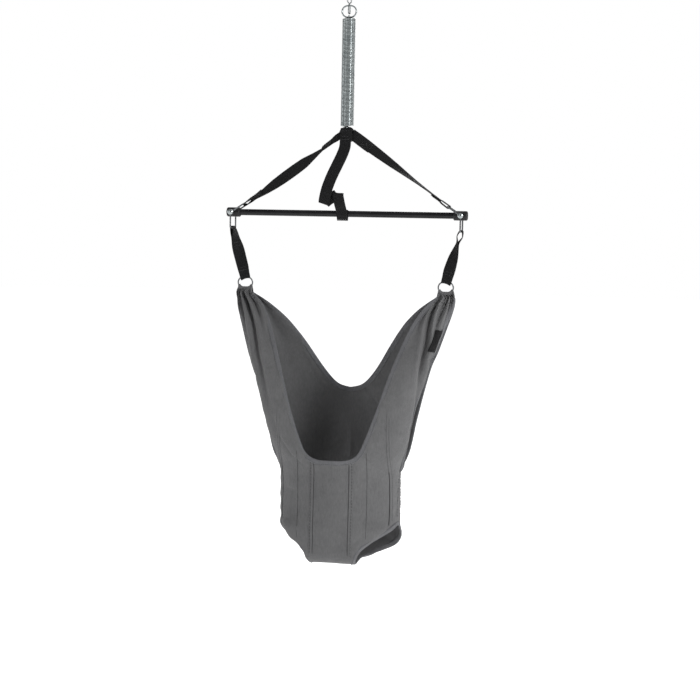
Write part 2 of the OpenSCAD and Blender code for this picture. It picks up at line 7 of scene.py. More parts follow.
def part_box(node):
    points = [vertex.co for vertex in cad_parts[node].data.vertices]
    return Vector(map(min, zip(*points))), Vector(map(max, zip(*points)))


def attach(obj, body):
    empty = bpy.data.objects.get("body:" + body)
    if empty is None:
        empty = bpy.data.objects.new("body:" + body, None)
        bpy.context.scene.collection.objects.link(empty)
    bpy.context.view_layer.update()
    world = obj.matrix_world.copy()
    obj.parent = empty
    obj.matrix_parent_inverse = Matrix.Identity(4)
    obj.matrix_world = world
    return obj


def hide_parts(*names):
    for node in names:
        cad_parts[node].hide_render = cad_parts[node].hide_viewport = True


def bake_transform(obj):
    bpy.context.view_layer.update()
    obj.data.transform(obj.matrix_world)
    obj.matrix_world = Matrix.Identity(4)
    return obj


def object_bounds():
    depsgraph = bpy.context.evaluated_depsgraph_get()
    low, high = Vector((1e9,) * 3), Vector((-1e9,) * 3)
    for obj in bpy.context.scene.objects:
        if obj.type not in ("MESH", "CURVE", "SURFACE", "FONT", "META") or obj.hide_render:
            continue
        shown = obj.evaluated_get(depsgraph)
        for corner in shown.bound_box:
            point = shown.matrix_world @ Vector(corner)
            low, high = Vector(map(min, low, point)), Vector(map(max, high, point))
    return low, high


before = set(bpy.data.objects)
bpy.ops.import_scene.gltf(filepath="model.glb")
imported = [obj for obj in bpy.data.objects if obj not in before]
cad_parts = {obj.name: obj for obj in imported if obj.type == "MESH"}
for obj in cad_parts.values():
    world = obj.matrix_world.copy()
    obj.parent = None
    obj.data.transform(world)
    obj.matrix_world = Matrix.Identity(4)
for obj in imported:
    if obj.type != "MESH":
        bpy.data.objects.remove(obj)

cad_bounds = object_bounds()
MM = 0.001


# ---------------- places taken from the frame

def corners(node):
    """Lowest and highest corner of a CAD node at rest, as arrays."""
    low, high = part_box(node)
    return np.array(low), np.array(high)


def middle(node):
    low, high = corners(node)
    return (low + high)/2


SIDES = {-1: "left", 1: "right"}

# Diameters of the wires, the webbing's width and thickness, and the bar's radius.
RING_WIRE = 2.4*MM
SEAT_RING_WIRE = 2.2*MM
SPRING_WIRE = 2.0*MM
LINK_WIRE = 1.9*MM
HOOK_WIRE = 2.8*MM
STIRRUP_WIRE = 2.4*MM
WEB_W = 20*MM
WEB_T = 1.5*MM
BAR_R = 5*MM
LINK_GAP = 0.3*MM         # room between wires that hang on each other

# Heights ending in _Z are those of a wire's middle.
BAR = middle("spreader_bar")
HUB = middle("hub_ring")
HUB_LOW_Z = corners("hub_ring")[0][2] + RING_WIRE/2
SEAT = np.array([0, 0, middle("right_seat_ring")[2]])     # midway between the seat rings
COILS_LOW, COILS_TOP = (corner[2] for corner in corners("spring"))
COIL_R = corners("spring")[1][0] - SPRING_WIRE/2
BOLT_X = middle("right_lower_stirrup")[0]
LOWER_BAR_Z = corners("right_lower_stirrup")[0][2] + STIRRUP_WIRE/2


# ---------------- camera, floor and light

PICTURE_W = 1.12          # width of the view at the object, metres
SENSOR_W = 36
VIEW_DIST = 2.2
AZIMUTH = math.radians(11)
ELEVATION = math.radians(5)
ROLL = math.radians(1.1)
TARGET = Vector((0.0115, 0, -0.0347 - PICTURE_W/2))
LIGHT_AIM = Vector((0, 0, -0.55))
FLOOR_DROP = 0.2          # the object hangs this far clear of the floor
FLOOR_R = 14


def add_camera():
    data = bpy.data.cameras.new("camera")
    data.sensor_width = SENSOR_W
    data.lens = SENSOR_W*VIEW_DIST/PICTURE_W
    data.clip_end = 60
    cam = bpy.data.objects.new("camera", data)
    bpy.context.scene.collection.objects.link(cam)
    away = Vector((math.sin(AZIMUTH)*math.cos(ELEVATION), -math.cos(AZIMUTH)*math.cos(ELEVATION),
                   math.sin(ELEVATION)))
    turn = away.to_track_quat("Z", "Y").to_matrix().to_4x4()
    cam.matrix_world = Matrix.Translation(TARGET + away*VIEW_DIST) @ turn @ Matrix.Rotation(ROLL, 4, "Z")
    bpy.context.scene.camera = cam


def area_light(name, place, size, power):
    data = bpy.data.lights.new(name, "AREA")
    data.shape = "RECTANGLE"
    data.size, data.size_y = size
    data.energy = power
    lamp = bpy.data.objects.new(name, data)
    bpy.context.scene.collection.objects.link(lamp)
    lamp.location = place
    lamp.rotation_euler = (LIGHT_AIM - Vector(place)).to_track_quat("-Z", "Y").to_euler()


def add_light():
    """A white studio: the camera sees white, the metal sees a room with dark gaps."""
    world = bpy.data.worlds.new("studio")
    bpy.context.scene.world = world
    world.use_nodes = True
    tree = world.node_tree
    tree.nodes.clear()
    out, room, white, mix, path, coord, split, ramp = (tree.nodes.new("ShaderNode" + kind) for kind in (
        "OutputWorld", "Background", "Background", "MixShader", "LightPath", "TexCoord", "SeparateXYZ",
        "ValToRGB"))
    floor_end, sky_end = ramp.color_ramp.elements
    floor_end.color = (0.10, 0.10, 0.105, 1)
    sky_end.color = (1.0, 1.0, 1.0, 1)
    room.inputs["Strength"].default_value = 0.56
    white.inputs["Color"].default_value = (1, 1, 1, 1)
    white.inputs["Strength"].default_value = 1.0
    for source, target in ((coord.outputs["Generated"], split.inputs[0]),
                           (split.outputs["Z"], ramp.inputs[0]), (ramp.outputs[0], room.inputs["Color"]),
                           (path.outputs["Is Camera Ray"], mix.inputs[0]), (room.outputs[0], mix.inputs[1]),
                           (white.outputs[0], mix.inputs[2]), (mix.outputs[0], out.inputs[0])):
        tree.links.new(source, target)
    area_light("key", (2.2, -1.5, 0.4), (0.7, 1.2), 46)
    area_light("fill", (-1.6, -2.4, 0.2), (0.9, 1.3), 11)
    area_light("strip_left", (-2.3, -0.2, -0.4), (0.3, 2.2), 9)
    area_light("strip_right", (2.3, 0.4, -0.3), (0.3, 2.2), 9)
    area_light("back", (0.4, 2.4, 0.8), (1.6, 1.0), 16)
    view = bpy.context.scene.view_settings
    view.view_transform = "Standard"
    view.look = "None"


def add_floor():
    low = cad_bounds[0][2] - FLOOR_DROP
    steps = 64
    turns = [2*math.pi*i/steps for i in range(steps)]
    mesh = bpy.data.meshes.new("floor")
    rim = [(FLOOR_R*math.cos(a), FLOOR_R*math.sin(a), low) for a in turns]
    mesh.from_pydata(rim, [], [list(range(steps))])
    floor = bpy.data.objects.new("floor", mesh)
    bpy.context.scene.collection.objects.link(floor)
    m = Shader("floor_white", (0.93, 0.93, 0.93), 0.9)
    m.tone(m.noise(3, 2), (0.92, 0.92, 0.92), (0.94, 0.94, 0.94))
    m.bsdf.inputs["Emission Color"].default_value = (1, 1, 1, 1)
    m.bsdf.inputs["Emission Strength"].default_value = 0.8
    mesh.materials.append(m.mat)


# ---------------- materials

class Shader:
    """A Principled material with short helpers for the nodes that drive it."""

    def __init__(self, name, color, rough, metal=0.0, sheen=0.0, coat=0.0, specular=0.5):
        self.mat = bpy.data.materials.new(name)
        self.mat.use_nodes = True
        self.tree = self.mat.node_tree
        self.bsdf = next(n for n in self.tree.nodes if n.type == "BSDF_PRINCIPLED")
        values = {"Base Color": (*color, 1), "Roughness": rough, "Metallic": metal, "Sheen Weight": sheen,
                  "Sheen Roughness": 0.5, "Coat Weight": coat, "Coat Roughness": 0.08,
                  "Specular IOR Level": specular}
        for key, value in values.items():
            self.bsdf.inputs[key].default_value = value
        self.height = None

    def node(self, kind, **values):
        n = self.tree.nodes.new("ShaderNode" + kind)
        for key, value in values.items():
            setattr(n, key, value)
        return n

    def link(self, a, b):
        self.tree.links.new(a, b)

    def coord(self, which):
        return self.node("TexCoord").outputs[which]

    def noise(self, scale, detail=3, rough=0.55, along_z=1):
        """Noise with scale features a metre, drawn out along Z where along_z is below 1."""
        scaled = self.node("Mapping")
        scaled.inputs["Scale"].default_value = (1, 1, along_z)
        self.link(self.coord("Object"), scaled.inputs["Vector"])
        n = self.node("TexNoise")
        n.inputs["Scale"].default_value = scale
        n.inputs["Detail"].default_value = detail
        n.inputs["Roughness"].default_value = rough
        self.link(scaled.outputs[0], n.inputs["Vector"])
        return n.outputs["Fac"]

    def math(self, operation, a, b=0.0):
        n = self.node("Math", operation=operation)
        for i, value in enumerate((a, b)):
            if isinstance(value, (int, float)):
                n.inputs[i].default_value = value
            else:
                self.link(value, n.inputs[i])
        return n.outputs[0]

    def sum(self, a, share_a, b, share_b):
        """Shares of two values, added."""
        return self.math("ADD", self.math("MULTIPLY", a, share_a), self.math("MULTIPLY", b, share_b))

    def tone(self, fac, a, b, low=0.3, high=0.7):
        """Colour from a, where fac is low, to b, where it is high."""
        n = self.node("ValToRGB")
        for stop, position, color in zip(n.color_ramp.elements, (low, high), (a, b)):
            stop.position = position
            stop.color = (*color, 1)
        self.link(fac, n.inputs[0])
        self.link(n.outputs[0], self.bsdf.inputs["Base Color"])

    def rough(self, fac, a, b):
        n = self.node("MapRange")
        n.inputs["To Min"].default_value = a
        n.inputs["To Max"].default_value = b
        self.link(fac, n.inputs["Value"])
        self.link(n.outputs[0], self.bsdf.inputs["Roughness"])

    def bump(self, height, depth, strength=1.0):
        """Adds a layer of relief, depth in metres."""
        n = self.node("Bump")
        n.inputs["Strength"].default_value = strength
        n.inputs["Distance"].default_value = depth
        self.link(height, n.inputs["Height"])
        if self.height:
            self.link(self.height, n.inputs["Normal"])
        self.height = n.outputs[0]
        self.link(self.height, self.bsdf.inputs["Normal"])

    def uv_waves(self, along, across):
        """Phases of a wave across and of one along the UV map; the map and the periods are in metres."""
        split = self.node("SeparateXYZ")
        self.link(self.coord("UV"), split.inputs[0])
        u = self.math("MULTIPLY", split.outputs["X"], 2*math.pi/across)
        v = self.math("MULTIPLY", split.outputs["Y"], 2*math.pi/along)
        return u, v


def finish(name, color, gloss, clouds, tones, wear=None, worn=None, relief=None, depth=0, strength=0.5,
           drawn=(1, 1), **extra):
    """A material of clouds of tone, patches more or less worn, and fine relief. The three noises are
    (scale, detail); drawn is how far the wear and the relief stretch along Z."""
    m = Shader(name, color, gloss, **extra)
    m.tone(m.noise(*clouds), *tones)
    if wear:
        m.rough(m.noise(*wear, along_z=drawn[0]), *worn)
    if relief:
        m.bump(m.noise(*relief, along_z=drawn[1]), depth, strength)
    return m.mat


def metals_and_plastics():
    return {
        # Bright zinc plate with drawn-wire lines and a faint cloudiness.
        "zinc": finish("zinc_plate", (0.22, 0.235, 0.235), 0.30, (160, 4),
                       ((0.17, 0.18, 0.185), (0.27, 0.285, 0.28)), (500, 3), (0.22, 0.40), (1400, 3),
                       0.00006, metal=1.0),
        # Polished nickel with fine handling scratches.
        "nickel": finish("nickel_plate", (0.30, 0.33, 0.335), 0.22, (90, 3),
                         ((0.25, 0.275, 0.28), (0.35, 0.375, 0.375)), (700, 4), (0.12, 0.30), (900, 4),
                         0.00004, 0.4, drawn=(0.2, 0.1), metal=1.0),
        # Burnished steel wire, darker than the plated parts, with draw lines.
        "steel": finish("burnished_steel", (0.11, 0.115, 0.12), 0.28, (120, 3),
                        ((0.08, 0.084, 0.088), (0.15, 0.155, 0.16)), (600, 4), (0.20, 0.36), (900, 3),
                        0.00004, 0.4, metal=1.0),
        # Gloss black powder coat with a fine orange peel, thin at scuffs.
        "paint": finish("black_powder_coat", (0.006, 0.006, 0.007), 0.26, (60, 5),
                        ((0.004, 0.004, 0.005), (0.008, 0.008, 0.009)), (240, 4), (0.20, 0.36), (500, 2),
                        0.00004, 0.2, coat=0.08, specular=0.2),
        # Moulded black plastic with a spark-eroded grain.
        "plastic": finish("black_moulded_plastic", (0.012, 0.012, 0.013), 0.42, (45, 4),
                          ((0.008, 0.008, 0.009), (0.016, 0.016, 0.017)), (200, 3), (0.34, 0.55), (2600, 2),
                          0.00008, 0.6, specular=0.25),
    }


def webbing():
    """Black woven webbing: ribs across, a herringbone of warp threads along."""
    m = Shader("black_webbing", (0.006, 0.006, 0.0065), 0.66, sheen=0.02, specular=0.14)
    u, v = m.uv_waves(0.0022, 0.0026)
    rib = m.math("SINE", v)
    warp = m.math("SINE", m.math("ADD", u, m.math("MULTIPLY", rib, 0.9)))
    weave = m.math("MULTIPLY", m.math("ADD", rib, 1.4), m.math("ADD", warp, 1.4))
    fuzz = m.noise(900, 4)
    m.tone(m.sum(weave, 0.1, fuzz, 0.5), (0.0025, 0.0025, 0.003), (0.0125, 0.0125, 0.013), 0.2, 0.9)
    m.rough(fuzz, 0.5, 0.8)
    m.bump(weave, 0.00022, 0.8)
    m.bump(fuzz, 0.00010, 0.4)
    return m.mat


def cotton(name, dark, light):
    """Charcoal twill: fine diagonal threads, slubs and a slightly washed tone."""
    m = Shader(name, light, 0.85, sheen=0.10, specular=0.22)
    u, v = m.uv_waves(0.0009, 0.0009)
    diagonal = m.math("SINE", m.math("ADD", u, v))
    cross = m.math("SINE", m.math("SUBTRACT", m.math("MULTIPLY", u, 2.0), v))
    thread = m.sum(diagonal, 0.6, cross, 0.3)
    slub = m.noise(420, 5, 0.65, along_z=0.35)
    wash = m.noise(14, 4, 0.6)
    tone = m.sum(slub, 0.55, wash, 0.45)
    m.tone(m.math("ADD", tone, m.math("MULTIPLY", thread, 0.05)), dark, light, 0.30, 0.72)
    m.rough(slub, 0.78, 0.95)
    m.bump(thread, 0.00012, 0.6)
    m.bump(slub, 0.00016, 0.5)
    return m.mat


def label_material():
    """Black satin label: fine ribs, no lettering."""
    m = Shader("blank_woven_label", (0.005, 0.005, 0.005), 0.6, specular=0.12)
    u, v = m.uv_waves(0.0007, 0.0011)
    rib = m.math("ADD", m.math("SINE", v), m.math("MULTIPLY", m.math("SINE", u), 0.4))
    m.tone(m.math("ADD", m.math("MULTIPLY", rib, 0.2), m.noise(300, 3)),
           (0.003, 0.003, 0.003), (0.011, 0.011, 0.012))
    m.bump(rib, 0.00010, 0.6)
    return m.mat


# ---------------- mesh helpers

def new_piece(name, verts, faces, material, body=None, uv=None, normals=None):
    """A mesh object; uv holds one coordinate a vertex, in metres."""
    mesh = bpy.data.meshes.new(name)
    mesh.from_pydata([tuple(map(float, p)) for p in verts], [], [tuple(map(int, f)) for f in faces])
    mesh.validate()
    if uv is not None:
        layer = mesh.uv_layers.new(name="weave")
        loops = np.empty(len(mesh.loops), dtype=np.int32)
        mesh.loops.foreach_get("vertex_index", loops)
        layer.data.foreach_set("uv", np.asarray(uv, dtype=np.float32)[loops].ravel())
    mesh.polygons.foreach_set("use_smooth", [True]*len(mesh.polygons))
    mesh.materials.append(material)
    mesh.update()
    if normals is not None:
        mesh.normals_split_custom_set_from_vertices([tuple(map(float, n)) for n in normals])
    obj = bpy.data.objects.new(name, mesh)
    bpy.context.scene.collection.objects.link(obj)
    if body:
        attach(obj, body)
    return obj


def spline(points, s):
    """Catmull-Rom through points, at an array of places from 0 to 1."""
    p = np.asarray(points, dtype=float)
    x = np.clip(s, 0, 1 - 1e-9)*(len(p) - 1)
    i = np.floor(x).astype(int)
    t = (x - i)[:, None]
    last = len(p) - 1
    a, b = p[np.clip(i - 1, 0, last)], p[i]
    c, d = p[np.clip(i + 1, 0, last)], p[np.clip(i + 2, 0, last)]
    return 0.5*(2*b + (c - a)*t + (2*a - 5*b + 4*c - d)*t*t + (3*b - a - 3*c + d)*t*t*t)


def unit(v):
    v = np.asarray(v, dtype=float)
    return v/np.maximum(np.linalg.norm(v, axis=-1, keepdims=True), 1e-12)


def smoothstep(x):
    x = np.clip(x, 0, 1)
    return x*x*(3 - 2*x)


def pulled(vectors, towards, share):
    """Directions turned towards one direction, each by its share."""
    return unit(vectors*(1 - share) + np.array(towards, dtype=float)*share)


def run_of(path):
    """Distance along a path at each of its points."""
    return np.concatenate([[0], np.cumsum(np.linalg.norm(np.diff(path, axis=0), axis=1))])


def read_at(places, run, values):
    """Rows of values read at other distances along a path."""
    return np.stack([np.interp(places, run, values[:, k]) for k in range(3)], axis=1)


def tangents(path, closed=False):
    p = np.asarray(path, dtype=float)
    if closed:
        return unit(np.roll(p, -1, 0) - np.roll(p, 1, 0))
    t = np.empty_like(p)
    t[1:-1] = p[2:] - p[:-2]
    t[0], t[-1] = p[1] - p[0], p[-1] - p[-2]
    return unit(t)


def carried_frames(path, closed=False):
    """Side directions carried along a path without twist."""
    t = tangents(path, closed)
    side = np.empty_like(t)
    side[0] = unit(np.cross(t[0], (0, 0, 1) if abs(t[0][2]) < 0.9 else (0, 1, 0)))
    for i in range(1, len(t)):
        side[i] = unit(side[i - 1] - t[i]*np.dot(side[i - 1], t[i]))
    if closed:
        s = unit(side[-1] - t[0]*np.dot(side[-1], t[0]))
        twist = math.atan2(np.dot(np.cross(s, side[0]), t[0]), np.dot(s, side[0]))
        angle = np.linspace(0, twist, len(t))[:, None]
        side = side*np.cos(angle) + np.cross(t, side)*np.sin(angle)
    return side, np.cross(t, side)


def skin(n, m, closed, turned_over=False):
    """Faces over n stations of m points each, with flat ends unless the path is closed."""
    way = -1 if turned_over else 1
    faces = []
    for i in range(n if closed else n - 1):
        j = (i + 1) % n
        for k in range(m):
            q = (k + 1) % m
            a, b, c, d = i*m + k, i*m + q, j*m + q, j*m + k
            faces.append((a, d, c, b) if turned_over else (a, b, c, d))
    if not closed:
        faces.append(tuple(range(m))[::-way])
        faces.append(tuple(range((n - 1)*m, n*m))[::way])
    return faces


def tube(path, radius, sides=12, closed=False, round_ends=True):
    """Vertices and faces of a round wire; radius is a number or one a station."""
    path = np.asarray(path, dtype=float)
    radius = np.broadcast_to(radius, len(path)).astype(float)
    if not closed and round_ends:
        t = tangents(path)
        caps = [math.radians(a) for a in (80, 55, 25)]
        head = [path[0] - t[0]*radius[0]*math.sin(a) for a in caps]
        tail = [path[-1] + t[-1]*radius[-1]*math.sin(a) for a in caps[::-1]]
        path = np.vstack([head, path, tail])
        radius = np.concatenate([[radius[0]*math.cos(a) for a in caps], radius,
                                 [radius[-1]*math.cos(a) for a in caps[::-1]]])
    side, up = carried_frames(path, closed)
    angle = np.arange(sides)*2*math.pi/sides
    ring = side[:, None, :]*np.cos(angle)[None, :, None] + up[:, None, :]*np.sin(angle)[None, :, None]
    verts = (path[:, None, :] + ring*radius[:, None, None]).reshape(-1, 3)
    return verts, skin(len(path), sides, closed)


def joined(parts):
    """Several (verts, faces) as one."""
    verts, faces, base = [], [], 0
    for v, f in parts:
        verts.append(np.asarray(v))
        faces += [tuple(k + base for k in face) for face in f]
        base += len(v)
    return np.vstack(verts), faces


def band(path, across, width, thick=WEB_T, sag=None, closed=False, columns=14):
    """Webbing: a flat band with rolled edges. across holds its width direction at each
    station, sag how far its edges drop beside its middle."""
    path = np.asarray(path, dtype=float)
    n = len(path)
    t = tangents(path, closed)
    across = np.broadcast_to(across, (n, 3)).astype(float)
    w = unit(across - t*np.sum(across*t, axis=1, keepdims=True))
    normal = np.cross(w, t)
    width = np.broadcast_to(width, n).astype(float)
    sag = np.zeros((n, 3)) if sag is None else np.asarray(sag, dtype=float)
    x = np.linspace(-1, 1, columns)
    edge = np.sqrt(np.clip(1 - np.abs(x)**14, 0.02, 1))
    section = [(a, e/2) for a, e in zip(x, edge)] + [(a, -e/2) for a, e in zip(x[::-1], edge[::-1])]
    m = len(section)
    verts = np.empty((n, m, 3))
    uv = np.empty((n, m, 2))
    along = run_of(path)
    for k, (a, h) in enumerate(section):
        verts[:, k] = path + w*(a*width/2)[:, None] + normal*(h*thick) + sag*(a*a)
        uv[:, k, 0] = a*width/2
        uv[:, k, 1] = along
    return verts.reshape(-1, 3), skin(n, m, closed, turned_over=True), uv.reshape(-1, 2)


def resample(path, step):
    """Points a fixed distance apart along a path."""
    path = np.asarray(path, dtype=float)
    run = run_of(path)
    count = max(2, int(round(run[-1]/step)) + 1)
    return read_at(np.linspace(0, run[-1], count), run, path)


def stitch_row(path, normal, length=2.3*MM, pitch=3.1*MM, r=0.28*MM):
    """Dashes of thread lying along a path, sunk at their ends."""
    path = np.asarray(path, dtype=float)
    normal = np.broadcast_to(normal, path.shape)
    run = run_of(path)
    lift = np.array([-0.6, 0.5, 0.8, 0.5, -0.6])*r
    parts = []
    for s in np.arange(pitch/2, run[-1] - pitch/2, pitch):
        at = np.linspace(s - length/2, s + length/2, 5)
        dash = read_at(at, run, path) + unit(read_at(at, run, normal))*lift[:, None]
        parts.append(tube(dash, r*np.array([0.7, 1, 1, 1, 0.7]), 5, round_ends=False))
    return parts


def tubes_piece(name, parts, material, body=None):
    """Wires or rows of stitches as one piece."""
    verts, faces = joined(parts)
    return new_piece(name, verts, faces, material, body)


def band_piece(name, material, body, *shape, **options):
    """A band as a piece; what follows the body is what band() takes."""
    verts, faces, uv = band(*shape, **options)
    return new_piece(name, verts, faces, material, body, uv)


# ---------------- metal pieces

def coat_cad_nodes(look):
    """Gives the CAD nodes that stay visible their finish."""
    groups = {"nickel": ["top_ring", "through_bolts", "dome_nuts"], "steel": ["hub_ring"],
              "plastic": ["bolt_spacers"], "paint": ["spreader_bar"]}
    for side in SIDES.values():
        groups["steel"] += [side + "_upper_stirrup", side + "_lower_stirrup", side + "_seat_ring"]
        groups["plastic"].append(side + "_end_cap")
    for key, names in groups.items():
        for name in names:
            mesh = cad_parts[name].data
            mesh.materials.clear()
            mesh.materials.append(look[key])


def turned(path, angle):
    """A path in the XZ plane turned about Z."""
    path = np.asarray(path, dtype=float)
    c, s = math.cos(angle), math.sin(angle)
    return np.stack([path[:, 0]*c - path[:, 1]*s, path[:, 0]*s + path[:, 1]*c, path[:, 2]], axis=1)


def add_hook(look):
    """S-hook: a round top bend, a straight shank and a lower bend closed round the link."""
    low, high = corners("ceiling_hook")
    wire = HOOK_WIRE
    mouth = 9.2*MM
    r_top = mouth/2 + wire/2
    top_z = high[2] - wire/2 - r_top
    r_low = r_top*0.8
    low_z = low[2] + wire/2 + r_low
    lean = math.degrees(math.asin((r_top + r_low)/(top_z - low_z)))

    def on(r, z, a):
        return [r*math.cos(math.radians(a)), 0, z + r*math.sin(math.radians(a))]

    path = [on(r_top, top_z, a) for a in np.linspace(205, -lean, 30)]
    path += [on(r_low, low_z, a) for a in np.linspace(180 - lean, 405, 30)]
    path = resample(path, 0.6*MM)
    wires = [tube(turned(path, math.radians(150)), wire/2, 16)]
    obj = tubes_piece("s_hook_wire", wires, look["zinc"], "hook")
    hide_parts("ceiling_hook")


def add_link(look):
    """One figure-eight of wire: long loop above, small loop below, wires crossing between."""
    low, high = corners("chain_link")
    r = LINK_WIRE/2
    cross = corners("top_ring")[1][2] + LINK_GAP + r
    top = high[2] - r
    bottom = low[2] + r
    half_long, half_short = 4.5*MM, 1.9*MM

    def side(t, half, past, spread):
        """Half width of a loop: from the crossing out to half, then a round end."""
        return half*smoothstep(min(1, t/spread))*math.sqrt(max(0, 1 - max(0, past/half)**2))

    right, lower_a, lower_b = [], [], []
    for t in np.linspace(0, 1, 26):
        z = cross + (top - cross)*t
        right.append([side(t, half_long, z - top + half_long, 0.16), r*max(0, 1 - t*8), z])
    left = [[-x, -y, z] for x, y, z in right[::-1]]
    for i in range(1, 14):
        t = i/13
        z = cross - (cross - bottom)*t
        x = side(t, half_short, bottom + half_short - z, 0.35)
        y = r*max(0, 1 - t*4)
        lower_a.append([x, -y, z])
        lower_b.append([-x, y, z])
    loop = np.array(right + left + lower_a + lower_b[-2::-1])
    keep = np.concatenate([[True], np.linalg.norm(np.diff(loop, axis=0), axis=1) > 0.05*MM])
    loop = loop[keep]
    loop = resample(np.vstack([loop, loop[:1]]), 0.5*MM)[:-1]
    for _ in range(2):
        loop = (loop*2 + np.roll(loop, 1, 0) + np.roll(loop, -1, 0))/4
    wires = [tube(turned(loop, math.radians(60)), r, 14, closed=True)]
    obj = tubes_piece("figure_eight_link", wires, look["zinc"], "link")
    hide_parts("chain_link")


def add_spring(look):
    """One wire: hook round the top ring, closed coils, hook round the hub ring."""
    wire = SPRING_WIRE
    r_loop = (RING_WIRE + wire)/2 + 0.5*MM
    ring_z = corners("top_ring")[0][2] + RING_WIRE/2
    hub_z = corners("hub_ring")[1][2] - RING_WIRE/2
    top, low = COILS_TOP + wire/2 + LINK_GAP, COILS_LOW - wire/2 - LINK_GAP
    turns = int(round((top - low)/(wire*1.01)))
    points_per_turn = 26
    a = np.linspace(0, 2*math.pi*turns, turns*points_per_turn + 1) + math.pi/2
    z = np.linspace(low, top, len(a))
    coil = np.stack([COIL_R*np.cos(a), COIL_R*np.sin(a), z], axis=1)

    def end(coil_z, wire_z, way):
        loop_z = wire_z + way*((RING_WIRE + wire)/2 + LINK_GAP - r_loop)
        leg = [[0, COIL_R*0.92, coil_z + way*0.1*MM], [0, COIL_R*0.75, coil_z + way*0.35*MM],
               [0, r_loop + 1.2*MM, coil_z + way*0.8*MM], [0, r_loop + 0.2*MM, coil_z + way*1.6*MM],
               [0, r_loop, loop_z]]
        arc = [[0, r_loop*math.cos(b), loop_z + way*r_loop*math.sin(b)]
               for b in np.linspace(0.25, math.pi + 0.15, 16)]
        return np.array(leg + arc)

    path = np.vstack([end(low, hub_z, -1)[::-1], coil[2:-2], end(top, ring_z, 1)])
    obj = tubes_piece("spring_wire", [tube(path, wire/2, 8)], look["nickel"])
    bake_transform(obj)
    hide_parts("spring_top_hook", "spring", "spring_lower_hook")


# ---------------- webbing pieces

def wheel(center, n, axis, r, start, stop, steps):
    """Points round a wire; angle 0 lies along n, 90 degrees along axis."""
    return [center + n*r*math.cos(math.radians(a)) + axis*r*math.sin(math.radians(a))
            for a in np.linspace(start, stop, steps)]


def box_stitch(path, w, normal, half, lift):
    """Thread round a rectangle and along its diagonals, on both faces of a sewn stretch."""
    parts = []
    a, b = path
    for n in (normal, -normal):
        corner = [c + n*lift for c in (a - w*half, a + w*half, b + w*half, b - w*half)]
        for i, j in ((0, 1), (1, 2), (2, 3), (3, 0), (0, 2), (1, 3)):
            parts += stitch_row(resample([corner[i], corner[j]], 0.8*MM), n)
    return parts


def spaced(f, values):
    """A value at share f of a strap, from values an even distance apart."""
    return np.interp(f, np.linspace(0, 1, len(values)), values)


def strap_turn(axis, level, turn):
    """Functions of the share along a strap, for its width direction and its face's normal."""
    def across(f):
        a = math.radians(float(spaced(f, turn)))
        return math.cos(a)*np.array([0, 1, 0.0]) + math.sin(a)*level

    def normal(f):
        return np.cross(axis, across(f))

    return across, normal


def add_upper_strap(look, s, name, turn, gather, slack):
    """From a loop through the hub ring to a loop round the stirrup's cross-bar."""
    stirrup = corners(SIDES[s] + "_upper_stirrup")
    bar_x = stirrup[0][0] + STIRRUP_WIRE/2 if s > 0 else stirrup[1][0] - STIRRUP_WIRE/2
    bar = np.array([bar_x, 0, stirrup[1][2] - STIRRUP_WIRE/2])
    start = np.array([s*8.4*MM, 0, HUB[2] - 1.5*MM])
    axis = unit(bar - start)
    length = np.linalg.norm(bar - start)
    up = unit(np.cross(axis, (0, 1, 0)))
    across, normal = strap_turn(axis, up if up[2] >= 0 else -up, turn)

    def at(f, h):
        bow = -slack*math.sin(math.pi*f)**2
        return start + axis*length*f + normal(f)*h + np.array([0, 0, bow])

    layer = 0.8*MM            # from the middle between two layers to the middle of either
    tab_in, tab_out = 0.20, 0.17
    loop = (STIRRUP_WIRE + WEB_T)/2 + 0.35*MM

    def off_hub(f):
        return 0.9*MM*smoothstep((0.10 - f)/0.06)

    def off_bar(f):
        return (loop - layer)*smoothstep((f - 0.90)/0.05)

    inner, outer = np.linspace(tab_in, 0.05, 8), np.linspace(0.05, 0.93, 60)
    back = np.linspace(0.94, 1 - tab_out, 12)
    path = [at(f, -layer - off_hub(f)) for f in inner]
    path += [start + axis*(0.9*MM + 2.0*MM*math.cos(a)) + normal(0.0)*1.9*MM*math.sin(a)
             for a in map(math.radians, np.linspace(-75, -285, 9))]
    path += [at(f, layer + off_hub(f) + off_bar(f)) for f in outer]
    path += wheel(bar, axis, normal(1.0), loop*1.02, 80, -80, 11)
    path += [at(f, -layer - off_bar(f)) for f in back]
    wide = np.concatenate([inner, [0.0]*9, outer, [1.0]*11, back])
    w = np.array([across(f) for f in wide])
    size = spaced(wide, gather)*WEB_W
    bend = np.array([normal(f) for f in wide])*(0.9*MM*np.sin(wide*math.pi))[:, None]
    obj = band_piece(name, look["webbing"], "spreader", path, w, size, sag=bend)
    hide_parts(name.replace("_webbing", ""))
    marks = []
    for a, b in ((0.845, 0.93), (0.11, 0.19)):
        f = (a + b)/2
        half = 0.36*WEB_W*float(spaced(f, gather))
        marks += box_stitch([at(a, 0), at(b, 0)], across(f), normal(f), half, 1.6*MM)
    tubes_piece(name.replace("webbing", "stitching"), marks, look["thread"], "spreader")


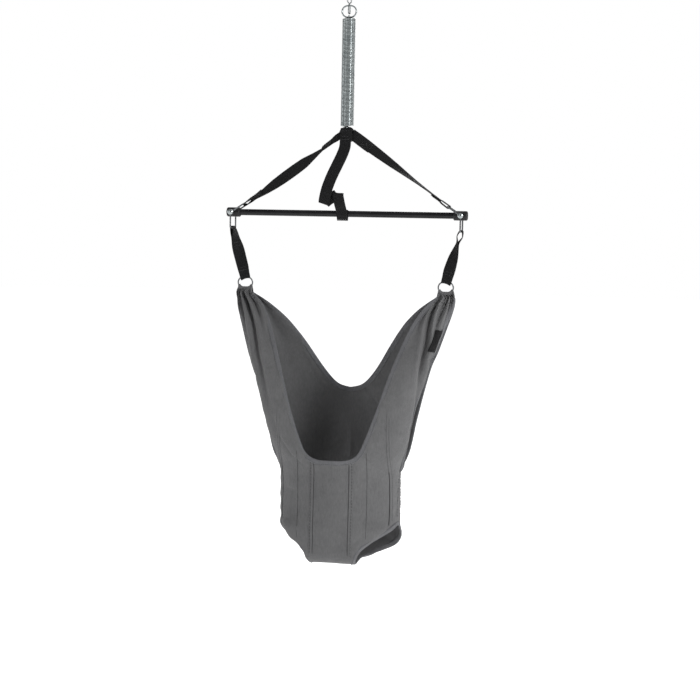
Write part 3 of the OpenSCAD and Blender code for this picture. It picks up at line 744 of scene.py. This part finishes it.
def add_front_strap(look):
    """One length of webbing: folded over the hub ring, down in front, up behind itself, over and
    down to the bar, its end sewn to the sleeve."""
    top = HUB_LOW_Z
    yz = [(4.6, 14.5), (4.7, 6), (4.2, 0), (1.8, -3.4), (-1.6, -3.4), (-3.9, 0), (-4.3, 6), (-4.3, 12.6),
          (-5.0, 16.0), (-6.5, 15.6), (-7.0, 11), (-7.2, 5)]
    fold = [(0, y, z) for y, z in yz]
    bar = (BAR[2] - top)/MM
    down = [(-0.8, -7.6, -3), (-1.4, -9.5, -14), (-5.4, -13, -27), (-12, -15.5, -42), (-20, -17.5, -60),
            (-26.5, -18.8, -78), (-30.2, -19.2, -94), (-31.2, -18.9, -101.6), (-31.3, -17.4, -103.0),
            (-30.8, -16.0, -101.8), (-25.5, -15.4, -97.0), (-16, -15.0, -91.0), (-10.6, -15.0, -88.0),
            (-9.2, -16.2, -86.2), (-9.0, -17.6, -87.0), (-8.8, -18.2, -90.5), (-6.6, -14.6, -104),
            (-5.4, -9.4, bar + 6), (-4.6, -7.75, bar), (-4.4, -5.3, bar - 6.2), (-4.4, -2.5, bar - 9.2),
            (-4.4, -2.2, bar - 10.8)]
    # Width direction at each point, as x and z.
    turn = [(1, -0.05), (1, -0.12), (1, -0.25), (1, -0.38), (1, -0.42), (1, -0.38), (1, -0.34), (1, -0.34),
            (1, -0.34), (1, -0.36), (0.9, -0.62), (0.86, -0.60), (0.96, -0.25), (1, -0.08), (1, -0.05),
            (1, 0.02), (1, 0.22), (1, 0.08), (1, 0), (1, 0), (1, 0), (1, 0)]
    across = [(x, 0, z) for x, z in [(1, 0)]*len(fold) + turn]
    points = np.array(fold + down)*MM + np.array([0, 0, top])
    s = np.linspace(0, 1, 420)
    path = spline(points, s)
    w = unit(spline(across, s))
    run = run_of(path)
    at = np.linspace(0, run[-1], 330)
    path, w = read_at(at, run, path), read_at(at, run, w)
    f = at/run[-1]
    size = (18.2 - 0.8*smoothstep((f - 0.6)/0.3))*MM
    sag = np.zeros((len(path), 3))
    sag[:, 1] = 0.9*MM*np.exp(-((f - 0.42)/0.12)**2)
    obj = band_piece("front_strap_webbing", look["webbing"], "spreader", path, w, size, 1.4*MM, sag)
    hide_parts("hub_wrap", "safety_strap")
    marks = []
    for y, z in ((-8.2, -1.5), (-8.2, 3.5), (-7.9, 12)):
        line = np.array([(-7.5, y, z), (7.5, y, z)])*MM + [0, 0, top]
        marks += stitch_row(resample(line, MM), np.array([0, -1.0, 0]))
    tubes_piece("front_strap_stitching", marks, look["thread"], "spreader")


def add_bar_sleeve(look):
    """Webbing round the bar, its two ends pinched and sewn in a short fin below."""
    r = BAR_R + 0.9*MM
    x = middle("bar_sleeve")[0] - 4.4*MM
    fin = BAR[2] - BAR_R - 5.6*MM
    path = [(x, -0.75*MM, fin), (x, -0.8*MM, fin + 2.2*MM)]
    path += [(x, -r*math.sin(a), BAR[2] - r*math.cos(a))
             for a in map(math.radians, np.linspace(25, 335, 40))]
    path += [(x, 0.8*MM, fin + 2.2*MM), (x, 0.75*MM, fin)]
    path = resample(path, 0.8*MM)
    obj = band_piece("bar_sleeve_webbing", look["webbing"], "spreader", path, (1, 0, 0), 17*MM, 1.35*MM)
    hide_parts("bar_sleeve")
    marks = []
    for y in (-3.0, 1.6):
        line = resample([(x - 7.2*MM, y*MM, fin + 1.3*MM), (x + 7.2*MM, y*MM, fin + 1.3*MM)], MM)
        marks += stitch_row(line, np.array([0, math.copysign(1, y), 0]), length=1.6*MM, pitch=2.6*MM)
    tubes_piece("bar_sleeve_stitching", marks, look["pale_thread"], "spreader")


def add_lower_strap(look, s, name, turn, opening):
    """Closed loop of webbing, two layers: round the stirrup's cross-bar and over the seat ring."""
    top = np.array([s*BOLT_X, 0, LOWER_BAR_Z])
    ring = corners(SIDES[s] + "_seat_ring")
    low = np.array([(ring[0][0] + ring[1][0])/2, 0, ring[1][2] - SEAT_RING_WIRE/2])
    axis = unit(low - top)
    length = np.linalg.norm(low - top)
    across, normal = strap_turn(axis, unit(np.cross((0, 1, 0), axis))*s, turn)
    layer = 0.8*MM            # from the middle between the two layers to the middle of either
    r_top = (STIRRUP_WIRE + WEB_T)/2 + 0.35*MM
    r_low = (SEAT_RING_WIRE + WEB_T)/2 + 0.12*MM

    def apart(f):
        h = layer + (r_top - layer)*(1 - smoothstep((f - 0.02)/0.22))
        h += opening*math.exp(-((f - 0.10)/0.075)**2)
        return h + (r_low - layer)*smoothstep((f - 0.90)/0.08)

    down = np.linspace(0.015, 0.985, 46)
    path = [top + axis*length*f + normal(f)*apart(f) for f in down]
    path += wheel(low, normal(1.0), axis, r_low, 12, 168, 9)
    path += [top + axis*length*f - normal(f)*apart(f) for f in down[::-1]]
    path += wheel(top, -normal(0.0), -axis, r_top, 12, 168, 9)
    wide = np.concatenate([down, [1.0]*9, down[::-1], [0.0]*9])
    w = np.array([across(f) for f in wide])
    size = np.interp(wide, [0, 0.1, 0.35, 0.8, 1], [17, 18.5, 19.5, 18.5, 15.5])*MM
    sag = np.zeros((len(path), 3))
    sag[:, 2] = -1.7*MM*smoothstep((wide - 0.78)/0.2)
    obj = band_piece(name, look["webbing"], "seat_straps", path, w, size, sag=sag, closed=True)
    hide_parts(name.replace("_webbing", ""))
    marks = []
    for f in (0.30, 0.37, 0.80, 0.86):
        for n in (normal(f), -normal(f)):
            at = top + axis*length*f + n*1.65*MM
            marks += stitch_row(resample([at - across(f)*7.5*MM, at + across(f)*7.5*MM], MM), n)
    tubes_piece(name.replace("webbing", "stitching"), marks, look["thread"], "seat_straps")


# ---------------- seat

CLOTH_T = 1.2*MM
UPPER_ROWS, LOWER_ROWS, COLS = 112, 90, 61
HEM_ROW = 7               # row with the stitches below each hem
PANEL_COL = 22            # column of the seam between middle and side panels
SEAM_SHARE = 0.4          # share of a lower panel that is side seam, above the leg opening
LEG_ROW = UPPER_ROWS - 1 + int(round(SEAM_SHARE*(LOWER_ROWS - 1)))

# Millimetres from a point midway between the seat rings; right half, y towards the back.
SIDE_TOP, SIDE_LOW, CROTCH = (97, 0, -292), (97, 0, -380), (36, 0, -440)
NECK = {"front": [(0, -78, -272), (22, -78, -271), (40, -77, -262), (51, -77, -241), (69, -72, -191),
                  (89, -58, -127), (112, -30, -66), (131, -12, -34), (150, -4, -16)],
        "back": [(0, 70, -172), (22, 69, -165), (44, 63, -140), (70, 46, -98), (86, 34, -74),
                 (100, 24, -56), (118, 13, -38), (134, 7, -26), (150, 4, -16)]}
ARM = {"front": [SIDE_TOP, (107, -20, -270), (118, -28, -215), (128, -30, -173), (140, -26, -129),
                 (151, -20, -103), (165, -11, -63), (173, -6, -36), (176, -4, -16)]}
ARM["back"] = [(x, -y, z) for x, y, z in ARM["front"]]
LINE = {"front": [(0, -78, -272), (0, -78, -312), (0, -78, -352), (0, -78, -397), (0, -70, -433),
                  (0, 0, -443)],
        "back": [(0, 70, -172), (0, 75, -270), (0, 76, -345), (0, 70, -398), (0, 42, -434), (0, 0, -442)]}
LEG = {"front": [SIDE_LOW, (90, -32, -386), (66, -58, -399), (47, -68, -414), (39, -66, -430),
                 (37, -55, -438), (36, -30, -440), CROTCH],
       "back": [SIDE_LOW, (98, 24, -404), (86, 46, -424), (64, 50, -436), (46, 28, -441), CROTCH]}

# Folds pressed into each shoulder where it is gathered on the ring: place across (0 neck, 1 arm),
# drift across by its end, width, length and depth, in shares and millimetres.
FOLDS = {
    ("front", -1): [(0.86, -0.04, 0.06, 48, 3.2), (0.40, 0.02, 0.055, 150, 5.2), (0.62, 0.03, 0.05, 60, 2.6),
                    (0.18, 0.05, 0.06, 80, 3.0), (0.72, -0.02, 0.04, 34, 1.8), (0.97, 0, 0.05, 30, 1.6)],
    ("front", 1): [(0.16, 0.64, 0.05, 190, 4.8), (0.48, 0.06, 0.05, 46, 2.6), (0.66, 0.05, 0.045, 30, 2.4),
                   (0.34, 0.20, 0.04, 62, 2.2), (0.84, 0, 0.06, 40, 2.0), (0.05, 0.1, 0.05, 70, 1.8)],
    ("back", -1): [(0.22, 0.25, 0.06, 120, 4.4), (0.48, 0.10, 0.06, 84, 3.4), (0.72, 0.02, 0.05, 60, 2.6),
                   (0.90, 0, 0.06, 40, 2.0)],
    ("back", 1): [(0.20, 0.30, 0.06, 132, 4.0), (0.46, 0.12, 0.05, 90, 3.2), (0.70, 0.05, 0.06, 56, 2.8),
                  (0.88, 0, 0.05, 36, 2.0)],
}


def waves(p, scale, seed, count=7, stretch=(1, 1, 1)):
    """Smooth noise about -1 to 1 from crossing sine waves."""
    rng = np.random.default_rng(seed)
    k = unit(rng.normal(size=(count, 3)))*np.array(stretch)
    phase = rng.uniform(0, 2*math.pi, count)
    pitch = rng.uniform(0.6, 1.5, count)
    total = np.zeros(p.shape[:-1])
    for i in range(count):
        total += np.sin(2*math.pi*pitch[i]*(p @ k[i])/scale + phase[i])
    return total/math.sqrt(count)


def bulge(c, e, u):
    """Rows between a middle line c and an edge e, each bulging like a quarter ellipse."""
    c, e = c[:, None, :], e[:, None, :]
    a = u[None, :]*math.pi/2
    x = c[..., 0] + (e[..., 0] - c[..., 0])*np.sin(a)
    y = e[..., 1] + (c[..., 1] - e[..., 1])*np.cos(a)
    z = c[..., 2] + (e[..., 2] - c[..., 2])*u[None, :]
    return np.stack([x, y, z], axis=-1)


def lower_edge(face, v):
    top, low = np.array(SIDE_TOP), np.array(SIDE_LOW)
    side = top + (low - top)*np.clip(v/SEAM_SHARE, 0, 1)[:, None]
    leg = spline(LEG[face], np.clip((v - SEAM_SHARE)/(1 - SEAM_SHARE), 0, 1))
    return np.where((v < SEAM_SHARE)[:, None], side, leg)


def quarter(face, s):
    """Grid of one quarter of the seat without folds: rows from the ring to the crotch."""
    u = np.linspace(0, 1, COLS)
    v = np.linspace(1, 0, UPPER_ROWS)
    upper = bulge(spline(NECK[face], v), spline(ARM[face], v), u)
    v = np.linspace(0, 1, LOWER_ROWS)[1:]
    lower = bulge(spline(LINE[face], v), lower_edge(face, v), u)
    grid = np.concatenate([upper, lower])
    soft = (smoothstep((u - 0.06)/0.25)*(1 - smoothstep((u - 0.86)/0.14)))[None, :, None]
    join = np.exp(-((np.arange(len(grid)) - UPPER_ROWS + 1)/24.0)**2)[:, None, None]
    smoothings = 220          # they round the corner between the upper and the lower rows
    for _ in range(smoothings):
        blur = grid.copy()
        blur[1:-1] = (grid[:-2] + grid[2:] + 2*grid[1:-1])/4
        grid = grid + (blur - grid)*soft*join
    grid = grid*MM + SEAT
    grid[..., 0] *= s
    return grid


def grid_normals(grid, face, s):
    n = np.cross(np.gradient(grid, axis=1), np.gradient(grid, axis=0))*s
    return unit(-n if face == "front" else n)


def with_folds(grid, face, s):
    """The quarter with its pressed folds, gathers, drape and puckers."""
    n = grid_normals(grid, face, s)
    u = np.linspace(0, 1, COLS)[None, :]
    run = run_of(grid[:, COLS//2])[:, None]/MM
    x, z = np.abs(grid[..., 0])/MM, (grid[..., 2] - SEAT[2])/MM
    shape = np.zeros(grid.shape[:2])
    side = np.zeros_like(shape)
    press, ridge, ridge_at, pull = 2.2, 0.7, 1.9, 0.35     # of a fold, in its depths and widths
    for place, drift, wide, length, depth in FOLDS[(face, s)]:
        t = run/length
        at = place + drift*np.clip(t, 0, 1.2) + 0.012*np.sin(run/17 + place*20)
        w = wide*(1 + 0.5*np.clip(t, 0, 1.5))
        fade = np.exp(-np.clip(t, 0, 9)**2.2)
        q = (u - at)/w
        shape += -press*depth*np.exp(-q*q)*fade
        shape += ridge*depth*(np.exp(-(q - ridge_at)**2/1.2) + np.exp(-(q + ridge_at)**2/1.2))*fade
        side += -pull*depth*q*np.exp(-q*q)*fade
    # Small gathers beside the ring.
    shape += np.sin(u*math.pi*2*11 + 1.3*np.sin(run/14) + s)*np.exp(-(run/30)**2)
    # Drape, which fades out at the ring, the edges and the crotch.
    free = smoothstep((run - 30)/60)
    edge = np.minimum(1, np.minimum(u, 1 - u)/0.07 + 0.25)
    edge = np.where(z < SIDE_TOP[2] + 6, np.minimum(1, (1 - u)/0.12), edge)
    crotch = smoothstep((z + 446)/26)
    seed = 11 if face == "front" else 23
    drape = 2.3*waves(grid, 0.16, seed, 6, (1, 1, 0.35)) + 0.8*waves(grid, 0.06, seed + 5, 7, (1, 1, 0.5))
    drape += 0.25*waves(grid, 0.022, seed + 9, 8)
    shape += drape*free*edge*crotch
    slack = smoothstep((z + 300)/40)*free
    shape += slack*edge*1.3*waves(grid, 0.085, seed + 31, 7, (1.0, 1.0, 0.45))
    crease = np.clip(1 - np.abs(waves(grid, 0.11, seed + 41, 5, (1, 1, 0.7))), 0, 1)**4
    shape += -1.5*crease*free*edge*crotch*smoothstep((x - 12)/25)
    # Puckers along the side seam.
    near_side = np.exp(-((1 - u)/0.16)**2)*smoothstep((-z - 285)/20)
    shape += 0.9*near_side*edge*np.sin(z*2*math.pi/19 + 2*np.sin(z/23 + s))
    moved = grid + n*(shape*MM)[..., None]
    moved[..., 0] += side*MM*s*0.5
    return moved


def shell_piece(name, grid, normals, material, thick=CLOTH_T):
    """A grid of points given thickness, with closed rims; normals point out of the seat."""
    facing = np.cross(np.gradient(grid, axis=1), np.gradient(grid, axis=0))
    if np.sum(facing*normals) < 0:
        grid, normals = grid[:, ::-1], normals[:, ::-1]
    rows, cols = grid.shape[:2]
    outer = grid.reshape(-1, 3)
    inner = (grid - normals*thick).reshape(-1, 3)
    count = rows*cols
    index = np.arange(count).reshape(rows, cols)
    a, b = index[:-1, :-1].ravel(), index[:-1, 1:].ravel()
    c, d = index[1:, 1:].ravel(), index[1:, :-1].ravel()
    faces = list(zip(a, b, c, d)) + list(zip(d + count, c + count, b + count, a + count))
    rim = list(index[0, :]) + list(index[1:, -1]) + list(index[-1, -2::-1]) + list(index[-2:0:-1, 0])
    faces += [(j, i, i + count, j + count) for i, j in zip(rim, rim[1:] + rim[:1])]
    steps = np.cumsum(np.linalg.norm(np.diff(grid, axis=1), axis=2), axis=1)
    across = np.concatenate([np.zeros((rows, 1)), steps], axis=1)
    across -= across[:, cols//2:cols//2 + 1]
    down = np.broadcast_to(run_of(grid[:, cols//2])[:, None], across.shape)
    uv = np.stack([across, down], axis=-1).reshape(-1, 2)
    n = normals.reshape(-1, 3)
    return new_piece(name, np.vstack([outer, inner]), faces, material, "seat", np.vstack([uv, uv]),
                     np.vstack([n, -n]))


def grid_area(grid):
    a = grid[1:, 1:] - grid[:-1, :-1]
    b = grid[1:, :-1] - grid[:-1, 1:]
    return float(0.5*np.linalg.norm(np.cross(a, b), axis=-1).sum())


def declare_cloth(flat_grid):
    """Works out a panel's row and column lengths and its area from its own grid before any fold; keeps none
    of them.
    """
    rows = np.linalg.norm(np.diff(flat_grid, axis=1), axis=2).sum(axis=1)
    cols = np.linalg.norm(np.diff(flat_grid, axis=0), axis=2).sum(axis=0)
    grid_area(flat_grid)


def smoothed(path, times=3, closed=False):
    p = np.array(path)
    for _ in range(times):
        q = (np.roll(p, 1, 0) + np.roll(p, -1, 0) + 2*p)/4
        if not closed:
            q[0], q[-1] = p[0], p[-1]
        p = q
    return p


def add_tape(look, name, edge, inward, normal, soft=6, closed=False):
    """Binding folded over a raw edge, with a row of stitches on its outer face. Soft is how many times
    its directions are smoothed."""
    width, thick = 7.5*MM, 2.5*MM
    edge = smoothed(edge, 4, closed)
    inward, normal = smoothed(inward, soft, closed), smoothed(normal, soft, closed)
    t = tangents(edge, closed)
    inward = unit(inward - t*np.sum(inward*t, axis=1, keepdims=True))
    out = unit(np.cross(t, inward))
    out *= np.sign(np.sum(out*normal, axis=1, keepdims=True))
    path = edge + inward*(width/2 - 1.0*MM) - out*CLOTH_T/2
    run = run_of(path)
    puff = thick*(1 + 0.10*np.sin(run/MM*2*math.pi/6.5 + 1.5*np.sin(run/MM/19)))
    obj = band_piece(name + "_tape", look["tape"], "seat", path, inward, width, float(np.mean(puff)),
                     closed=closed, columns=10)
    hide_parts(name)
    line = edge + inward*(width - 2.2*MM) + out*(thick/2 - CLOTH_T/2)
    if closed:
        line = np.vstack([line, line[:1]])
        out = np.vstack([out, out[:1]])
    tubes_piece(name + "_tape_stitching", stitch_row(line, out, r=0.24*MM), look["thread"], "seat")


def hem_grid(front_row, back_row, s):
    """Rows that carry the shoulders' top edges over the ring's lower wire."""
    low, high = corners(SIDES[s] + "_seat_ring")
    ring = (low + high)/2
    bend = (high[2] - low[2])/2 - SEAT_RING_WIRE/2
    straight = (high[0] - low[0])/2 - SEAT_RING_WIRE/2 - bend
    u = np.linspace(0, 1, len(front_row))
    x = (2*u - 1)*(straight + bend*0.93)*s
    past = np.maximum(np.abs(x) - straight, 0)
    level = np.zeros_like(x)
    drop = np.sqrt(np.maximum(bend**2 - past**2, 1e-12))
    wire = np.stack([ring[0] + x, level, ring[2] - drop], axis=1)
    inward = unit(np.stack([-np.sign(x)*past, level, drop], axis=1))
    pleat = 0.45*MM*np.sin(u*2*math.pi*9 + s)
    r = SEAT_RING_WIRE/2 + CLOTH_T + 0.25*MM + np.abs(pleat)*0.5

    def half(row, way):
        rows = []
        out = np.array([0, way, 0])
        start = wire + out*r[:, None]
        for t in np.linspace(0, 1, 9)[:-1]:
            p = row + (start - row)*smoothstep(t)
            p[:, 2] = row[:, 2] + (start[:, 2] - row[:, 2])*t
            p[:, 1] += way*pleat*math.sin(math.pi*t)*1.4
            rows.append(p)
        for a in np.linspace(0, math.pi/2, 7):
            rows.append(wire + out*(r*math.cos(a))[:, None] + inward*(r*math.sin(a))[:, None])
        return rows

    return np.array(half(front_row, -1) + half(back_row, 1)[-2::-1])


def add_seat(look):
    flat = {(f, s): quarter(f, s) for f in ("front", "back") for s in (-1, 1)}
    cloth = {key: with_folds(g, *key) for key, g in flat.items()}
    normal = {key: grid_normals(g, *key) for key, g in cloth.items()}
    low = UPPER_ROWS - 1

    def panel(node, part, face):
        obj = shell_piece(node + "_cloth", part(cloth), part(normal), look[face])
        declare_cloth(part(flat))
        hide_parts(node)

    for face in ("front", "back"):
        for s, side in SIDES.items():
            panel(f"{face}_{side}_shoulder", lambda grids: grids[face, s][:UPPER_ROWS], face)
            panel(f"{face}_{side}_panel", lambda grids: grids[face, s][low:, PANEL_COL:], face)

        def middle_part(grids):
            left, right = (grids[face, s][low:, :PANEL_COL + 1] for s in SIDES)
            return np.concatenate([left[:, ::-1], right[:, 1:]], axis=1)

        panel(f"{face}_center_panel", middle_part, face)
    for s, side in SIDES.items():
        hem = hem_grid(cloth["front", s][0], cloth["back", s][0], s)
        hn = unit(np.cross(np.gradient(hem, axis=1), np.gradient(hem, axis=0)))
        inside = SEAT + [s*163*MM, 0, -8.2*MM]
        towards = np.sum((hem - inside)*hn, axis=-1)
        hn = hn*(1 if np.median(towards) > 0 else -1)
        obj = shell_piece(f"{side}_hem_cloth", hem, hn, look["front"])
        declare_cloth(hem)
        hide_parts(f"{side}_hem")
    add_edges(look, cloth, normal)
    add_seams(look, cloth, normal)
    add_label(look, cloth["front", 1], normal["front", 1])


def along_edge(grid, normals, rows, edge_first, depth=7):
    """Edge points, directions into the cloth and outward normals for some rows."""
    g, n = grid[rows], normals[rows]
    if edge_first:
        return g[:, 0], unit(g[:, depth] - g[:, 0]), n[:, 1]
    return g[:, -1], unit(g[:, -1 - depth] - g[:, -1]), n[:, -2]


def add_edges(look, cloth, normal):
    """Tape round the neck, the arm openings and the leg openings. Where two edges meet, its directions
    turn smoothly from one to the other."""

    def edge_of(keys, rows, edge_first, depth=7, closed=False):
        """The edge of one quarter, then of the other in return."""
        first, second = (along_edge(cloth[key], normal[key], rows, edge_first, depth) for key in keys)
        end = 0 if closed else None
        return [np.vstack([a, b[-2:end:-1]]) for a, b in zip(first, second)]

    def near(places, width, power=2):
        """1 at a place, falling to 0 over some points."""
        return np.exp(-(places/width)**power)[:, None]

    upper = slice(0, UPPER_ROWS)
    leg = slice(LEG_ROW, None)
    for face in ("front", "back"):
        edge, inward, out = edge_of([(face, s) for s in SIDES], upper, True)
        pull = near(np.arange(len(edge)) - len(edge)/2, 7.0)
        add_tape(look, f"{face}_neck_binding", edge, pulled(inward, (0, 0, -1), pull), out)
    for s, side in SIDES.items():
        quarters = [("front", s), ("back", s)]
        edge, inward, out = edge_of(quarters, upper, False)
        pull = near(np.arange(len(edge)) - len(edge)/2, 8.0)
        inward, out = pulled(inward, (0, 0, -1), pull), pulled(out, (s, 0, 0), pull)
        add_tape(look, f"{side}_arm_binding", edge, inward, out, 20)
        edge, inward, out = edge_of(quarters, leg, False, 16, closed=True)
        place = np.arange(len(edge))
        top = near(np.minimum(place, len(edge) - place), 5.0)
        crotch = near(place - len(edge)/2, 13.0, 4)
        inward = pulled(pulled(inward, (0, 0, 1), top), (-s, 0, 0), crotch)
        out = pulled(pulled(out, (s, 0, 0), top), (0, 0, -1), crotch)
        add_tape(look, f"{side}_leg_binding", edge, inward, out, 30, closed=True)


def seam_points(grid, normals, x, rows):
    """Points on the cloth at a constant distance from the middle plane, one a row; and which exist."""
    found = []
    for row in rows:
        xs = np.abs(grid[row, :, 0])
        f = np.interp(x, xs, np.arange(COLS))
        i = min(int(f), COLS - 2)
        t = f - i
        found.append((grid[row, i]*(1 - t) + grid[row, i + 1]*t, normals[row, i],
                      xs.min() + 3*MM < x < xs.max() - 4*MM))
    return map(np.array, zip(*found))


def add_seams(look, cloth, normal):
    """Seams down the seat, each with a thin dark tube of painted shadow along its groove, two of them felled
    and topstitched; stitches down the side seams and below the hems."""
    bold = dict(length=3.3*MM, pitch=4.9*MM)
    # Place across, width of the felled strip, highest point, radius of the painted shadow line, stitches.
    seams = [(28*MM, 5.6*MM, -190*MM, 0.42*MM, dict(bold, r=0.46*MM)), (55*MM, 0, -235*MM, 0.20*MM, {}),
             (86*MM, 4.0*MM, -168*MM, 0.40*MM, {})]
    side_rows = slice(UPPER_ROWS + 2, UPPER_ROWS - 1 + int(SEAM_SHARE*(LOWER_ROWS - 1)) - 2)
    side_col = int(0.94*(COLS - 1))
    for face in ("front", "back"):
        dark, thread = [], []
        for s, side in SIDES.items():
            grid, out = cloth[face, s], normal[face, s]
            for k, (x, wide, top, shadow_line_r, stitches) in enumerate(seams):
                rows = [r for r in range(UPPER_ROWS//4, grid.shape[0] - 2)
                        if (grid[r, 0, 2] + grid[r, -1, 2])/2 - SEAT[2] < top]
                a, n, on_cloth = seam_points(grid, out, x, rows)
                b, _, other_on_cloth = seam_points(grid, out, x + max(wide, 1*MM), rows)
                keep = on_cloth & other_on_cloth
                a, b, n = smoothed(a[keep], 12), smoothed(b[keep], 12), smoothed(n[keep], 6)
                ends = np.minimum(np.arange(len(a)), len(a) - 1 - np.arange(len(a)))
                sink = n*(0.8*MM*(1 - smoothstep(ends/2.5)))[:, None]
                # A thin dark tube along the seam's groove: painted shadow, not cloth.
                dark.append(tube(a + n*0.12*MM - sink, shadow_line_r, 6))
                if not wide:
                    continue
                width = float(np.mean(np.linalg.norm(b - a, axis=1)))
                band_piece(f"{face}_{side}_felled_seam_{k + 1}", look[face], "seat",
                           (a + b)/2 + n*0.30*MM - sink, b - a, width, 0.9*MM, columns=6)
                thread += stitch_row((a*0.2 + b*0.8 + n*0.78*MM)[5:-5], n[5:-5], **stitches)
            thread += stitch_row(smoothed(grid[side_rows, side_col], 3), out[side_rows, side_col],
                                 r=0.44*MM, **bold)
            thread += stitch_row(grid[HEM_ROW, 1:-1], out[HEM_ROW, 1:-1])
        tubes_piece(f"{face}_topstitching", thread, look["thread"], "seat")
        # The seam tubes get the painted seam shadow material (look key fold).
        tubes_piece(f"{face}_seam_shadow_fold", dark, look["fold"], "seat")


def add_label(look, grid, normals):
    """Small blank label sewn near the right arm opening."""
    rows = np.arange(20, UPPER_ROWS)

    def place(z, u):
        """Point and normal of the cloth at a height and a share across."""
        col = u*(COLS - 1)
        i = int(col)
        heights = (grid[rows, i, 2] - SEAT[2])/MM
        f = float(np.interp(-z, -heights, rows))
        r = int(f)

        def at(field, row):
            return field[row, i]*(1 - col + i) + field[row, i + 1]*(col - i)

        return [at(field, r)*(1 - f + r) + at(field, r + 1)*(f - r) for field in (grid, normals)]

    both = np.array([[place(-66 - 33*a - b, 0.56 + 0.26*b + 0.02*a) for b in np.linspace(0, 1, 9)]
                     for a in np.linspace(0, 1, 14)])
    sheet, out = both[:, :, 0], unit(both[:, :, 1])
    for _ in range(3):
        sheet[:, 1:-1] = (sheet[:, :-2] + sheet[:, 2:] + 2*sheet[:, 1:-1])/4
    sheet = sheet + out*1.7*MM
    obj = shell_piece("blank_label_cloth", sheet, out, look["label"], 0.9*MM)
    declare_cloth(sheet)
    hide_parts("label")
    inset = [sheet[1, 1], sheet[1, -2], sheet[-2, -2], sheet[-2, 1], sheet[1, 1]]
    stitches = stitch_row(resample(inset, 0.8*MM), unit(out.mean(axis=(0, 1))), length=1.5*MM, pitch=2.2*MM,
                          r=0.18*MM)
    tubes_piece("blank_label_stitching", stitches, look["thread"], "seat")


# ---------------- build

look = {**metals_and_plastics(), "webbing": webbing(),
        "thread": finish("sewing_thread", (0.022, 0.022, 0.024), 0.7, (1500, 2),
                         ((0.012, 0.012, 0.013), (0.035, 0.035, 0.038)), relief=(2500, 2), depth=0.00008,
                         sheen=0.1),
        "pale_thread": finish("pale_thread", (0.55, 0.55, 0.55), 0.7, (900, 2),
                              ((0.42, 0.42, 0.42), (0.70, 0.70, 0.70)), sheen=0.2),
        "label": label_material(),
        # Painted shadow of a seam's groove: a dark, matt material for the thin tubes laid along the seams
        # where there is only shade.
        "fold": finish("seam_painted_shadow", (0.014, 0.014, 0.015), 0.9, (600, 3),
                       ((0.009, 0.009, 0.010), (0.022, 0.022, 0.023)), specular=0.1),
        "front": cotton("charcoal_cotton", (0.080, 0.080, 0.082), (0.128, 0.128, 0.130)),
        # Darker copy of the charcoal cotton for the back panels, whose inside is what shows: painted shade
        # of the seat's inside.
        "back": cotton("charcoal_cotton_painted_shade_inside", (0.066, 0.066, 0.068), (0.108, 0.108, 0.110)),
        "tape": cotton("binding_tape", (0.078, 0.079, 0.084), (0.130, 0.131, 0.138))}

add_camera()
add_light()
add_floor()
coat_cad_nodes(look)
add_hook(look)
add_link(look)
add_spring(look)
add_upper_strap(look, -1, "left_upper_strap_webbing", [88, 40, 22, 42, 62, 68, 66, 58, 42, 24, 10],
                [0.45, 0.62, 0.85, 1, 1, 1, 1, 1, 1], 1.5*MM)
add_upper_strap(look, 1, "right_upper_strap_webbing", [88, 72, 52, 40, 30, 18, 8, 2, 0, 0],
                [0.82, 0.88, 0.95, 1, 1, 1, 1, 1, 1], 1.0*MM)
add_front_strap(look)
add_bar_sleeve(look)
add_lower_strap(look, -1, "left_lower_strap_webbing", [0, 30, 66, 84, 92], 0.3*MM)
add_lower_strap(look, 1, "right_lower_strap_webbing", [0, 16, 52, 78, 90], 2.4*MM)
add_seat(look)
